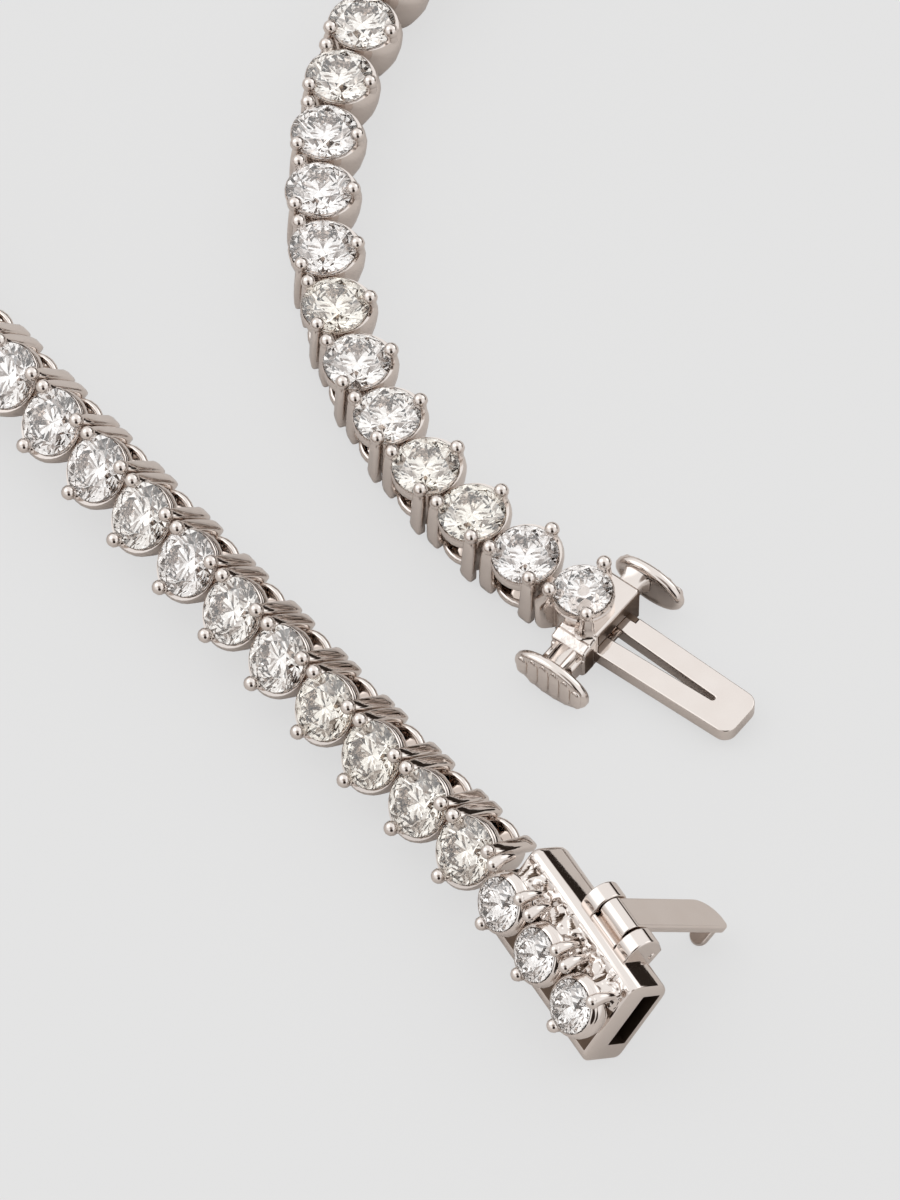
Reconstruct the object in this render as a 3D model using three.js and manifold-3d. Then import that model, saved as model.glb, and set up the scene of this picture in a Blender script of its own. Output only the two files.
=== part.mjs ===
// A tennis necklace lying open on a flat surface: a chain of three-prong links with round brilliants,
// a box clasp with a fold-over safety latch on one end and a slit tongue with two push buttons on the other.
// Millimetres, +Z up. The origin is the middle of the necklace's bounding box, on the surface it lies on.
import * as THREE from "three";
import { mergeVertices } from "three/addons/utils/BufferGeometryUtils.js";
import Module from "manifold-3d";

const wasm = await Module();
wasm.setup();

const DEG = Math.PI / 180;

// ---- Driving dimensions ----------------------------------------------------------------------------------

// The chain. Each link's own frame has +X along the chain, towards the tongue, +Y to the loop's outer side,
// where its single prong is, and +Z up through the stone. The origin is on the rivets' line.
const LINK = {
  count: 119,
  pitch: 3.3, // with the clasp's own stones this makes a loop of 406 mm, or 16 inches
  rivetHeight: 1.5, // the rivets' line above the base
  basket: { baseRadius: 0.85, waistHeight: 1.0, rimRadius: 1.5, rimHeight: 2.95 },
  across: 1.15, // the basket is an oval, longer across the chain than along it
  alongChain: 0.86,
  shift: 0.28, // towards the outer side
  prongCircle: 1.6,
  prongRadius: 0.34,
  pairFoot: 0.1,
  singleFoot: 2.2,
  prongTop: 4.05,
  pairAngle: 49, // the inner prongs, either side of the inner perpendicular
  lag: 1.65, // each link points along the chain as it was half a pitch before
};
const CHAIN_STONE = { diameter: 3.0, girdleHeight: 3.2 };
const RIVET_BAR = { width: 0.8, height: 1.0 };

// Round brilliants, as shares of the diameter.
const CUT = { crown: 0.155, girdle: 0.04, pavilion: 0.43, table: 0.57 };
const SEAT_GAP = 0.12; // between a stone and the metal that holds it

// The box. Its frame's origin is the outer back corner at the open end: +X runs out of the open end,
// +Y from the outer side to the hinge side, +Z from the back to the stones.
const BOX = {
  length: 8.5,
  width: 4.6,
  thickness: 2.5,
  corners: { outerTop: 0.6, innerTop: 0.5, innerBack: 0.4, outerBack: 0.3 },
  slot: { depth: 7.9, low: [1.0, 0.35], high: [4.15, 1.4] }, // low and high corners in Y and Z
};
const BOX_STONE = { diameter: 2.4, girdleHeight: 3.72, count: 3, first: -1.36, pitch: 3.04 };
const BOX_PRONG = { radius: 0.28, top: 4.3, pair: [0.97, 1.32], single: -1.12 }; // from each stone's middle

// The hinge and its latch. The latch's profile is given closed, from the hinge line: +Y away from the box.
const HINGE = {
  y: BOX.width + 0.5,
  z: 0.45,
  pinRadius: 0.17,
  pinGap: 0.12,
  knuckles: [[-5.1, -4.22], [-2.33, -1.45]], // the two that are part of the box, along X
  lug: { stand: 1.15, low: 0.05, high: 1.95, round: 0.55 },
};
const LATCH = {
  low: -4.14,
  high: -2.41,
  barrel: 0.42,
  plateNear: 0.55, // the plate's two faces, below the hinge line when closed
  plateFar: 0.97,
  tab: 0.55,
  reach: 6.05,
  openAngle: 83.2,
  hook: { width: 1.0, near: 5.2, far: 5.55, height: 1.14, bevel: 0.28 },
};

// The tongue end. Its frame's origin is under its stone, on the surface: +X runs to the tongue's tip.
const TONGUE = {
  root: 1.05,
  tip: 9.15,
  rootHalfWidth: 1.36,
  tipHalfWidth: 1.22,
  tipCorner: 0.75,
  low: 0.45,
  thickness: 0.8,
  slit: { start: 1.9, end: 7.5, startHalf: 0.4, endHalf: 0.2 },
  notch: { start: 2.45, length: 0.5, depth: 0.35 },
};
const BLOCK = { back: -0.2, front: 1.65, halfWidth: 2.15, top: 2.2 };
const TONGUE_STONE = { diameter: 2.65, girdleHeight: 3.2 };
const BUTTON = {
  centre: [1.2, 1.3], // X and Z
  size: [4.2, 2.5],
  inner: 3.25,
  outer: 3.8,
  shank: { start: 1.95, low: [0.3, 0.85], high: [1.3, 1.75] },
  travel: 0.3,
  ribs: 5,
};
const SLIDE_GAP = 0.1; // round the tongue's root and the buttons' shanks

// How the two ends lie. Headings are degrees from +X, turning towards +Y.
const BOX_POSE = { at: [7.43, -23.97], heading: -59, roll: 55.5 };
const TONGUE_POSE = { at: [6.0, -1.5], heading: -38 };

// The chain's way round, from the box to the tongue. The two straights and the large bend between them are
// worked out so that the chain has its real length.
const ROUTE = {
  startInBox: [-11.1, 1.8, 1.5], // the first link's origin, in the box's frame
  leavingHeading: 129.7,
  returningHeading: -116,
  endBendRadius: 26,
  endHeading: -39.5,
};
const TWIST = { start: 50, length: 150 }; // the first link's roll, and how far along the chain it dies out
const LIFT_LENGTH = 11; // the chain comes down from the box's height along this much

// ---- Solids ----------------------------------------------------------------------------------------------

/** A closed three.js geometry as a solid that can be joined and cut. */
function solidOf(geometry) {
  const bare = geometry.clone();
  bare.deleteAttribute("normal");
  bare.deleteAttribute("uv");
  const merged = mergeVertices(bare, 1e-4);
  return new wasm.Manifold(
    new wasm.Mesh({
      numProp: 3,
      vertProperties: new Float32Array(merged.attributes.position.array),
      triVerts: new Uint32Array(merged.index.array),
    }),
  );
}

/** A solid as a three.js geometry. */
function geometryOf(solid) {
  const mesh = solid.getMesh();
  const geometry = new THREE.BufferGeometry();
  geometry.setAttribute("position", new THREE.BufferAttribute(mesh.vertProperties, 3));
  geometry.setIndex(new THREE.BufferAttribute(mesh.triVerts, 1));
  return geometry;
}

const joined = (solids) => solids.reduce((whole, next) => whole.add(next));
const moved = (solid, matrix) => solid.transform(matrix.elements);

/** A box between two corners. */
function block(low, high) {
  const size = high.map((value, i) => value - low[i]);
  const middle = high.map((value, i) => (value + low[i]) / 2);
  return solidOf(new THREE.BoxGeometry(...size).translate(...middle));
}

/** A solid turned about +Z from [radius, height] points, with its first corner towards -Y. */
function turned(profile, sides) {
  const points = profile.map(([radius, height]) => new THREE.Vector2(radius, height));
  return new THREE.LatheGeometry(points, sides).rotateX(Math.PI / 2);
}

/** A shape drawn in Y and Z, drawn out along +X from one place to another. */
function alongX(shape, from, to, curveSegments = 3) {
  const geometry = new THREE.ExtrudeGeometry(shape, { depth: to - from, bevelEnabled: false, curveSegments });
  const axes = new THREE.Matrix4().makeBasis(
    new THREE.Vector3(0, 1, 0),
    new THREE.Vector3(0, 0, 1),
    new THREE.Vector3(1, 0, 0),
  );
  return geometry.applyMatrix4(axes).translate(from, 0, 0);
}

/** The box's section in Y and Z, a rectangle with a round of its own at each corner. */
function boxSection() {
  const { width, thickness, corners } = BOX;
  const { innerTop, outerTop, outerBack, innerBack } = corners;
  const shape = new THREE.Shape();
  shape.absarc(width - innerTop, thickness - innerTop, innerTop, 0, Math.PI / 2);
  shape.absarc(outerTop, thickness - outerTop, outerTop, Math.PI / 2, Math.PI);
  shape.absarc(outerBack, outerBack, outerBack, Math.PI, 1.5 * Math.PI);
  shape.absarc(width - innerBack, innerBack, innerBack, 1.5 * Math.PI, 2 * Math.PI);
  return shape;
}

/** A round brilliant with its girdle's top edge at a height, grown by a gap for the seat that it sits in. */
function brilliant(diameter, girdleHeight, sides, gap = 0) {
  const radius = diameter / 2 + gap;
  const profile = [
    [0, girdleHeight - (CUT.girdle + CUT.pavilion) * diameter - gap],
    [radius, girdleHeight - CUT.girdle * diameter],
    [radius, girdleHeight],
    [(CUT.table * diameter) / 2 + gap, girdleHeight + CUT.crown * diameter + gap],
    [0, girdleHeight + CUT.crown * diameter + gap],
  ];
  return turned(profile, sides);
}

/** A prong, a post with a rounded head. */
function prong(x, y, radius, bottom, top) {
  const profile = [[0, bottom], [radius, bottom], [radius, top - radius], [0, top]];
  return solidOf(turned(profile, 5).translate(x, y, 0));
}

/** Three prongs on a circle: one towards +Y and a pair across from it, each kind with its own foot. */
function threeProngs(circle, radius, singleFoot, pairFoot, top, pairAngle) {
  return [[90, singleFoot], [-90 - pairAngle, pairFoot], [-90 + pairAngle, pairFoot]].map(([angle, foot]) =>
    prong(circle * Math.cos(angle * DEG), circle * Math.sin(angle * DEG), radius, foot, top),
  );
}

// ---- The chain -------------------------------------------------------------------------------------------

/** An oval basket from its base up, in the link's frame. */
function linkBasket(sides, profile) {
  return turned(profile, sides).scale(LINK.alongChain, LINK.across, 1).translate(0, LINK.shift, 0);
}

/** A link that shows its basket, stone and prongs. */
function detailedLink() {
  const { baseRadius, waistHeight, rimRadius, rimHeight } = LINK.basket;
  const basket = solidOf(
    linkBasket(8, [[0, 0], [baseRadius, 0], [baseRadius + 0.1, waistHeight], [rimRadius, rimHeight], [0, rimHeight]]),
  );
  const stone = solidOf(brilliant(CHAIN_STONE.diameter, CHAIN_STONE.girdleHeight, 8));
  const { prongCircle, prongRadius, singleFoot, pairFoot, prongTop, pairAngle } = LINK;
  const three = threeProngs(prongCircle, prongRadius, singleFoot, pairFoot, prongTop, pairAngle);
  return joined([basket, stone, ...three]).translate([0, 0, -LINK.rivetHeight]);
}

/** A link in its plain form, basket and stone in one. */
function plainLink() {
  const top = CHAIN_STONE.girdleHeight + CUT.crown * CHAIN_STONE.diameter;
  const profile = [
    [0, 0],
    [LINK.basket.baseRadius, 0],
    [LINK.basket.rimRadius + 0.1, CHAIN_STONE.girdleHeight],
    [0, top],
  ];
  return solidOf(linkBasket(6, profile)).translate([0, 0, -LINK.rivetHeight]);
}

/** A stretch of the route: straight, or a bend that turns left when its radius is positive. */
class Stretch {
  constructor(start, heading, length, radius = Infinity) {
    Object.assign(this, { start, heading, length, radius });
  }

  at(distance) {
    const turn = Number.isFinite(this.radius) ? distance / this.radius : 0;
    const middle = this.heading + turn / 2;
    const chord = turn === 0 ? distance : 2 * this.radius * Math.sin(turn / 2);
    const place = new THREE.Vector2(Math.cos(middle), Math.sin(middle)).multiplyScalar(chord).add(this.start);
    return { place, heading: this.heading + turn };
  }
}

/** The chain's way round from the first link to the last, in four stretches. */
function chainRoute(start, end, length) {
  const out = ROUTE.leavingHeading * DEG;
  const back = ROUTE.returningHeading * DEG;
  const endBendLength = (ROUTE.endHeading * DEG - back) * ROUTE.endBendRadius;
  const endChord = new Stretch(new THREE.Vector2(), back, endBendLength, ROUTE.endBendRadius).at(endBendLength).place;

  // Two straights of lengths a and c and a right-hand bend of radius b between them close the loop:
  // their moves add up to the gap, and their lengths to what is left of the chain.
  const gap = end.clone().sub(endChord).sub(start);
  const turn = out - back;
  const sums = new THREE.Matrix3().set(
    Math.cos(out), Math.sin(out) - Math.sin(back), Math.cos(back),
    Math.sin(out), Math.cos(back) - Math.cos(out), Math.sin(back),
    1, turn, 1,
  );
  const rest = length - endBendLength;
  const [a, b, c] = new THREE.Vector3(gap.x, gap.y, rest).applyMatrix3(sums.invert()).toArray();

  const away = new Stretch(start, out, a);
  const round = new Stretch(away.at(a).place, out, turn * b, -b);
  const home = new Stretch(round.at(turn * b).place, back, c);
  const endBend = new Stretch(home.at(c).place, back, endBendLength, ROUTE.endBendRadius);
  return [away, round, home, endBend];
}

/** The place and heading at a distance along a route. */
function along(route, distance) {
  let left = distance;
  for (const stretch of route) {
    if (left <= stretch.length || stretch === route.at(-1)) return stretch.at(left);
    left -= stretch.length;
  }
}

/** The frame of each link, rolled and lifted near the box and level on the surface further on. */
function linkFrames(boxFrame, tongueFrame) {
  const first = new THREE.Vector3(...ROUTE.startInBox).applyMatrix4(boxFrame);
  const last = new THREE.Vector3(-LINK.pitch, 0, 0).applyMatrix4(tongueFrame);
  const span = (LINK.count - 1) * LINK.pitch;
  const route = chainRoute(new THREE.Vector2(first.x, first.y), new THREE.Vector2(last.x, last.y), span);
  const baseOuter = LINK.shift + LINK.basket.baseRadius * LINK.across;
  const lyingHeight = (roll) => LINK.rivetHeight * Math.cos(roll) + baseOuter * Math.sin(roll);
  const firstLift = first.z - lyingHeight(TWIST.start * DEG);
  return Array.from({ length: LINK.count }, (_, i) => {
    const distance = i * LINK.pitch;
    const { place } = along(route, distance);
    const { heading } = along(route, Math.max(0, distance - LINK.lag));
    const roll = TWIST.start * DEG * Math.max(0, 1 - distance / TWIST.length);
    const lift = firstLift * Math.max(0, 1 - distance / LIFT_LENGTH) ** 2;
    return new THREE.Matrix4()
      .makeTranslation(place.x, place.y, lyingHeight(roll) + lift)
      .multiply(new THREE.Matrix4().makeRotationZ(heading))
      .multiply(new THREE.Matrix4().makeRotationX(-roll));
  });
}

/** The bar of rivets and loops that joins two links. */
function rivetBar(frame, next) {
  const from = new THREE.Vector3().setFromMatrixPosition(frame);
  const to = new THREE.Vector3().setFromMatrixPosition(next);
  const bar = new THREE.BoxGeometry(from.distanceTo(to), RIVET_BAR.width, RIVET_BAR.height);
  const forward = to.clone().sub(from).normalize();
  const up = new THREE.Vector3().setFromMatrixColumn(frame, 2);
  const side = up.clone().cross(forward).normalize();
  const turn = new THREE.Matrix4().makeBasis(forward, side, forward.clone().cross(side));
  return solidOf(bar.applyMatrix4(turn.setPosition(from.add(to).multiplyScalar(0.5))));
}

/** A run of links joined along their thread. */
function linkRun(frames, link) {
  const links = frames.map((frame) => moved(link, frame));
  const bars = frames.slice(1).map((frame, i) => rivetBar(frames[i], frame));
  return joined([...links, ...bars]);
}

// ---- The box clasp ---------------------------------------------------------------------------------------

const boxStonePlaces = Array.from({ length: BOX_STONE.count }, (_, i) => BOX_STONE.first - i * BOX_STONE.pitch);

/** A short cup with three prongs on the box, with the seat cut for its stone. */
function boxSetting(x) {
  const low = BOX.thickness - 0.3;
  const rim = BOX_STONE.girdleHeight - 0.1;
  const cup = solidOf(turned([[0, low], [0.9, low], [BOX_STONE.diameter / 2 + 0.05, rim], [0, rim]], 10));
  const { radius, top, pair, single } = BOX_PRONG;
  const three = [[-pair[0], pair[1]], [pair[0], pair[1]], [0, single]].map(([px, py]) =>
    prong(px, py, radius, low, top),
  );
  const seat = solidOf(brilliant(BOX_STONE.diameter, BOX_STONE.girdleHeight, 12, SEAT_GAP));
  const place = new THREE.Matrix4().makeTranslation(x, BOX.width / 2, 0);
  return moved(joined([cup, ...three]).subtract(seat), place);
}

/** One of the box's two hinge knuckles, a rounded lug that stands on the hinge side. */
function knuckle([from, to]) {
  const { stand, low, high, round } = HINGE.lug;
  const foot = BOX.width - 0.2;
  const top = BOX.width + stand;
  const lug = new THREE.Shape();
  lug.absarc(top - round, low + round, round, -Math.PI / 2, 0);
  lug.absarc(top - round, high - round, round, 0, Math.PI / 2);
  lug.lineTo(foot, high);
  lug.lineTo(foot, low);
  return solidOf(alongX(lug, from, to));
}

/** The box with its settings, its hinge knuckles and ledge, and the lug that takes the first link. */
function claspBox() {
  const shell = solidOf(alongX(boxSection(), -BOX.length, 0));
  const { depth, low, high } = BOX.slot;
  const slot = block([-depth, ...low], [1, ...high]);
  const ledge = block([HINGE.knuckles[0][1] - 0.2, BOX.width - 0.2, 1.1], [HINGE.knuckles[1][0] + 0.2, HINGE.y - 0.05, 2.0]);
  const lug = block([-BOX.length - 0.75, 1.5, 1.0], [-BOX.length + 0.3, 2.4, 2.0]);
  const bore = hingeBore().translate([0, HINGE.y, HINGE.z]);
  const settings = boxStonePlaces.map(boxSetting);
  return joined([shell, ledge, lug, ...HINGE.knuckles.map(knuckle)])
    .subtract(slot)
    .subtract(bore)
    .add(joined(settings));
}

/** The room for the hinge's pin, along the hinge line. */
function hingeBore() {
  const radius = HINGE.pinRadius + HINGE.pinGap;
  return solidOf(turned([[0, -7], [radius, -7], [radius, 0], [0, 0]], 10).rotateY(Math.PI / 2));
}

/** The hinge's pin. */
function hingePin() {
  const length = HINGE.knuckles[1][1] - HINGE.knuckles[0][0];
  return turned([[0, 0], [HINGE.pinRadius, 0], [HINGE.pinRadius, length], [0, length]], 10)
    .rotateY(Math.PI / 2)
    .translate(HINGE.knuckles[0][0], 0, 0);
}

/** The safety latch, closed: a barrel, a finger tab, a plate that covers the back and a hook at its end. */
function safetyLatch() {
  const { low, high, barrel, plateNear, plateFar, tab, reach, hook } = LATCH;
  const profile = new THREE.Shape();
  profile.absarc(0, 0, barrel, 0, Math.PI);
  profile.lineTo(-barrel, -plateNear);
  profile.lineTo(-reach, -plateNear);
  profile.lineTo(-reach, -plateFar + 0.12);
  profile.lineTo(-reach + 0.12, -plateFar);
  profile.lineTo(tab - 0.12, -plateFar);
  profile.lineTo(tab, -plateFar + 0.12);
  profile.lineTo(tab, -plateNear);
  profile.lineTo(barrel, -plateNear);
  const strip = solidOf(alongX(profile, low - 0.1, high + 0.1, 5));

  // The plate's tip is round in plan.
  const middle = (low + high) / 2;
  const halfWidth = (high - low) / 2;
  const plan = new THREE.Shape();
  plan.absarc(middle, -reach + halfWidth, halfWidth, Math.PI, 2 * Math.PI);
  plan.lineTo(middle + halfWidth, 2);
  plan.lineTo(middle - halfWidth, 2);
  const trim = solidOf(
    new THREE.ExtrudeGeometry(plan, { depth: 3, bevelEnabled: false, curveSegments: 8 }).translate(0, 0, -2),
  );

  const finger = new THREE.Shape();
  finger.moveTo(-hook.far, -plateFar + 0.1);
  finger.lineTo(-hook.near, -plateFar + 0.1);
  finger.lineTo(-hook.near, hook.height);
  finger.lineTo(-hook.near - 0.08, hook.height);
  finger.lineTo(-hook.far, hook.height - hook.bevel);
  const catchHook = solidOf(alongX(finger, middle - hook.width / 2, middle + hook.width / 2));
  return strip.intersect(trim).add(catchHook).subtract(hingeBore());
}

// ---- The tongue end --------------------------------------------------------------------------------------

/** The tongue: a flat spring slit down its middle, with a notch for the catch in each edge. */
function tongue() {
  const { root, tip, rootHalfWidth, tipHalfWidth, tipCorner, slit, notch } = TONGUE;
  const outline = new THREE.Shape();
  outline.moveTo(root, -rootHalfWidth);
  outline.lineTo(tip - tipCorner, -tipHalfWidth);
  outline.absarc(tip - tipCorner, -tipHalfWidth + tipCorner, tipCorner, -Math.PI / 2, 0);
  outline.absarc(tip - tipCorner, tipHalfWidth - tipCorner, tipCorner, 0, Math.PI / 2);
  outline.lineTo(root, rootHalfWidth);
  const hole = new THREE.Path();
  hole.moveTo(slit.start, -slit.startHalf);
  hole.lineTo(slit.start, slit.startHalf);
  hole.lineTo(slit.end - slit.endHalf, slit.endHalf);
  hole.absarc(slit.end - slit.endHalf, 0, slit.endHalf, Math.PI / 2, -Math.PI / 2, true);
  outline.holes.push(hole);
  const plate = solidOf(
    new THREE.ExtrudeGeometry(outline, { depth: TONGUE.thickness, bevelEnabled: false, curveSegments: 5 })
      .translate(0, 0, TONGUE.low),
  );
  const notches = [1, -1].map((side) => {
    const edges = [side * (rootHalfWidth - notch.depth), side * (rootHalfWidth + 1)].sort((a, b) => a - b);
    return block([notch.start, edges[0], 0], [notch.start + notch.length, edges[1], 3]);
  });
  return plate.subtract(joined(notches));
}

/** The tongue block: a cross bar under a three-prong cup, with pockets for the tongue and the buttons. */
function tongueBlock() {
  const bar = block([BLOCK.back, -BLOCK.halfWidth, 0], [BLOCK.front, BLOCK.halfWidth, BLOCK.top]);
  const radius = TONGUE_STONE.diameter / 2;
  const rim = TONGUE_STONE.girdleHeight - 0.1;
  const cup = solidOf(turned([[0, 0], [0.95, 0], [radius + 0.05, rim], [0, rim]], 12));
  const three = threeProngs(radius + 0.22, 0.32, 0.6, 0.6, LINK.prongTop, 44);
  const lug = block([-1.75, -0.4, 1.0], [-0.5, 0.4, 2.0]);
  const seat = solidOf(brilliant(TONGUE_STONE.diameter, TONGUE_STONE.girdleHeight, 12, SEAT_GAP));
  const rootPocket = block(
    [TONGUE.root - SLIDE_GAP, -TONGUE.rootHalfWidth - SLIDE_GAP, TONGUE.low - SLIDE_GAP],
    [BLOCK.front + 1, TONGUE.rootHalfWidth + SLIDE_GAP, TONGUE.low + TONGUE.thickness + SLIDE_GAP],
  );
  const { start, low, high } = BUTTON.shank;
  const shankPockets = [1, -1].map((side) => {
    const ends = [side * (start - BUTTON.travel - SLIDE_GAP), side * (BLOCK.halfWidth + 1)].sort((a, b) => a - b);
    return block(
      [low[0] - SLIDE_GAP, ends[0], low[1] - SLIDE_GAP],
      [high[0] + SLIDE_GAP, ends[1], high[1] + SLIDE_GAP],
    );
  });
  return [seat, rootPocket, ...shankPockets].reduce(
    (metal, pocket) => metal.subtract(pocket),
    joined([bar, cup, lug, ...three]),
  );
}

/** A push button on the side of +Y or -Y: an oval disc with upright ribs, on a shank. */
function pushButton(side) {
  const { centre, size, inner, outer, shank, ribs } = BUTTON;
  const oval = new THREE.Shape().absellipse(centre[0], centre[1], size[0] / 2, size[1] / 2, 0, 2 * Math.PI);
  const slab = (shape, from, to) =>
    solidOf(
      new THREE.ExtrudeGeometry(shape, { depth: to - from, bevelEnabled: false, curveSegments: 10 })
        .rotateX(Math.PI / 2)
        .translate(0, side > 0 ? to : -from, 0),
    );
  const disc = slab(oval, inner, outer - 0.12);
  const ribPitch = (size[0] * 0.8) / ribs;
  const ridges = Array.from({ length: ribs }, (_, i) => {
    const x = centre[0] + (i - (ribs - 1) / 2) * ribPitch;
    const half = (size[1] / 2) * Math.sqrt(1 - ((2 * (x - centre[0])) / size[0]) ** 2) - 0.08;
    const faces = [side * (outer - 0.3), side * outer].sort((a, b) => a - b);
    return block([x - ribPitch * 0.3, faces[0], centre[1] - half], [x + ribPitch * 0.3, faces[1], centre[1] + half]);
  });
  const ends = [side * shank.start, side * (inner + 0.1)].sort((a, b) => a - b);
  const stem = block([shank.low[0], ends[0], shank.low[1]], [shank.high[0], ends[1], shank.high[1]]);
  return joined([disc, stem, ...ridges]);
}

// ---- Materials and the scene graph -----------------------------------------------------------------------

const whiteGold = () => new THREE.MeshStandardMaterial({ color: 0xd9d6d2, roughness: 0.12, metalness: 1 });
const diamond = () => new THREE.MeshStandardMaterial({ color: 0xf4f4f2, roughness: 0.02, metalness: 0 });

/** A named mesh of a solid or a geometry. */
function piece(name, shape, material) {
  const geometry = shape.isBufferGeometry ? shape : geometryOf(shape);
  const mesh = new THREE.Mesh(geometry, material);
  mesh.name = name;
  return mesh;
}

const claspEnd = new THREE.Group();
const cornerSink = BOX.corners.outerBack * (1 - Math.sin(BOX_POSE.roll * DEG) - Math.cos(BOX_POSE.roll * DEG));
claspEnd.position.set(...BOX_POSE.at, cornerSink);
claspEnd.rotation.set(BOX_POSE.roll * DEG, 0, BOX_POSE.heading * DEG, "ZXY");
claspEnd.add(piece("clasp_box", claspBox(), whiteGold()));
boxStonePlaces.forEach((x, i) => {
  const stone = piece(`box_stone_${i + 1}`, brilliant(BOX_STONE.diameter, BOX_STONE.girdleHeight, 12), diamond());
  stone.position.set(x, BOX.width / 2, 0);
  claspEnd.add(stone);
});

const hinge = new THREE.Group();
hinge.position.set(0, HINGE.y, HINGE.z);
hinge.add(piece("hinge_pin", hingePin(), whiteGold()));
const latch = piece("safety_latch", safetyLatch(), whiteGold());
latch.rotation.x = LATCH.openAngle * DEG;
hinge.add(latch);
claspEnd.add(hinge);

const tongueEnd = new THREE.Group();
tongueEnd.position.set(...TONGUE_POSE.at, 0);
tongueEnd.rotation.z = TONGUE_POSE.heading * DEG;
tongueEnd.add(
  piece("tongue_block", tongueBlock(), whiteGold()),
  piece("tongue", tongue(), whiteGold()),
  piece("tongue_stone", brilliant(TONGUE_STONE.diameter, TONGUE_STONE.girdleHeight, 12), diamond()),
  piece("push_button_left", pushButton(1), whiteGold()),
  piece("push_button_right", pushButton(-1), whiteGold()),
);

claspEnd.updateMatrixWorld(true);
tongueEnd.updateMatrixWorld(true);
const tongueRivets = tongueEnd.matrixWorld.clone();
const frames = linkFrames(claspEnd.matrixWorld, tongueRivets);

// The links by the clasp are detailed, and the rest of the loop is plain.
const RUNS = [
  { name: "chain_box_side", links: 8, link: detailedLink() },
  ...Array.from({ length: 7 }, (_, i) => ({ name: `chain_back_${i + 1}`, links: i < 5 ? 15 : 14, link: plainLink() })),
  { name: "chain_tongue_side", links: 8, link: detailedLink() },
];

const necklace = new THREE.Group();
necklace.add(claspEnd, tongueEnd);
let next = 0;
for (const run of RUNS) {
  necklace.add(piece(run.name, linkRun(frames.slice(next, next + run.links), run.link), whiteGold()));
  next += run.links;
}

// The origin goes to the middle of the bounding box, on the surface.
const bounds = new THREE.Box3().setFromObject(necklace, true);
const middle = bounds.getCenter(new THREE.Vector3());
necklace.position.set(-middle.x, -middle.y, -bounds.min.z);

export default necklace;
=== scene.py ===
"""Looks for a three-prong tennis necklace that lies open on a pale surface, its clasp undone.

The CAD frame gives the place. Every sub-assembly is drawn in millimetres in a frame of its own, as the
necklace's maker would draw it, and is then laid in the part's frame, in metres.
"""

import logging
import math
from collections.abc import Iterable, Sequence
from dataclasses import dataclass, field
from enum import Enum

import bmesh
import bpy
from mathutils import Matrix, Vector, noise

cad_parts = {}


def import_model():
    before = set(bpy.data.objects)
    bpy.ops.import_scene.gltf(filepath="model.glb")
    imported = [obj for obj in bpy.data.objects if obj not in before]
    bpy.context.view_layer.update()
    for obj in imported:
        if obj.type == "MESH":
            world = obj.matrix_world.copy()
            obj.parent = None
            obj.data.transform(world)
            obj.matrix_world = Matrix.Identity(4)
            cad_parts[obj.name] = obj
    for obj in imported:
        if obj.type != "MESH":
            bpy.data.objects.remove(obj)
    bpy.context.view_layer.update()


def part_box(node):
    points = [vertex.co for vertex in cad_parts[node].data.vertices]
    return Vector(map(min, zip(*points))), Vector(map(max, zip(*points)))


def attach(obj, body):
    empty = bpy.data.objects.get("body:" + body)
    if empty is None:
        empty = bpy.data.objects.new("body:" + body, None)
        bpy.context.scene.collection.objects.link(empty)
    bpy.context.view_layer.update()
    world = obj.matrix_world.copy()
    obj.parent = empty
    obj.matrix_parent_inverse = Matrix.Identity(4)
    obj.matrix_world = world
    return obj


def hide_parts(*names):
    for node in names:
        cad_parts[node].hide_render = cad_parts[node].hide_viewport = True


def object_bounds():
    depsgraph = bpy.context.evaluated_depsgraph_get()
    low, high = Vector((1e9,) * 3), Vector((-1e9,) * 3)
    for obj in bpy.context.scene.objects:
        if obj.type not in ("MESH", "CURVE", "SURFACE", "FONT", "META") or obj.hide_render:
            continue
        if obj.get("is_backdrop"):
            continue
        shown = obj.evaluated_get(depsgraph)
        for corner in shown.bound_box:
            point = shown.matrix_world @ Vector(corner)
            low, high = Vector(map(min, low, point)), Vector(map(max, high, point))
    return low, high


MM = 0.001
SAME_PLACE = 1e-4  # millimetres within which two corners are one
NO_LENGTH = 1e-5  # millimetres under which an edge is nothing
LEAST_ROUND = 0.03  # what a corner keeps of its round however far its outline is drawn in
log = logging.getLogger("necklace")

Point = tuple[float, float]
Triple = tuple[float, float, float]
Quad = tuple[float, float, float, float]
Section = list[Vector]


class Slot(Enum):
    """The record's material slots."""

    CLASP = "white_gold"
    CHAIN = "white_gold_chain"
    STONE = "brilliant"


class Body(Enum):
    """The bodies that pieces ride on."""

    NECKLACE = "necklace"
    LATCH = "latch"
    BUTTON_LEFT = "button_left"
    BUTTON_RIGHT = "button_right"


# ---- Node trees ----------------------------------------------------------------------------------

MIX_SHARE, MIX_LOW, MIX_HIGH, MIX_RESULT = 0, 6, 7, 2  # the mix node's sockets for colours


def add_node(
    tree: bpy.types.NodeTree,
    kind: str,
    settings: dict[str, object] | None = None,
    values: dict[str | int, object] | None = None,
    links: dict[str | int, bpy.types.NodeSocket] | None = None,
) -> bpy.types.Node:
    """Add a node to a tree.

    Args:
        tree: The tree that it goes into.
        kind: The node's type.
        settings: The node's own properties, by name.
        values: Constants for its inputs, by socket.
        links: Sockets that feed its inputs, by socket.

    Returns:
        The new node.
    """
    node = tree.nodes.new(kind)
    for name, value in (settings or {}).items():
        setattr(node, name, value)
    for socket, value in (values or {}).items():
        node.inputs[socket].default_value = value
    for socket, source in (links or {}).items():
        tree.links.new(source, node.inputs[socket])
    return node


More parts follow.
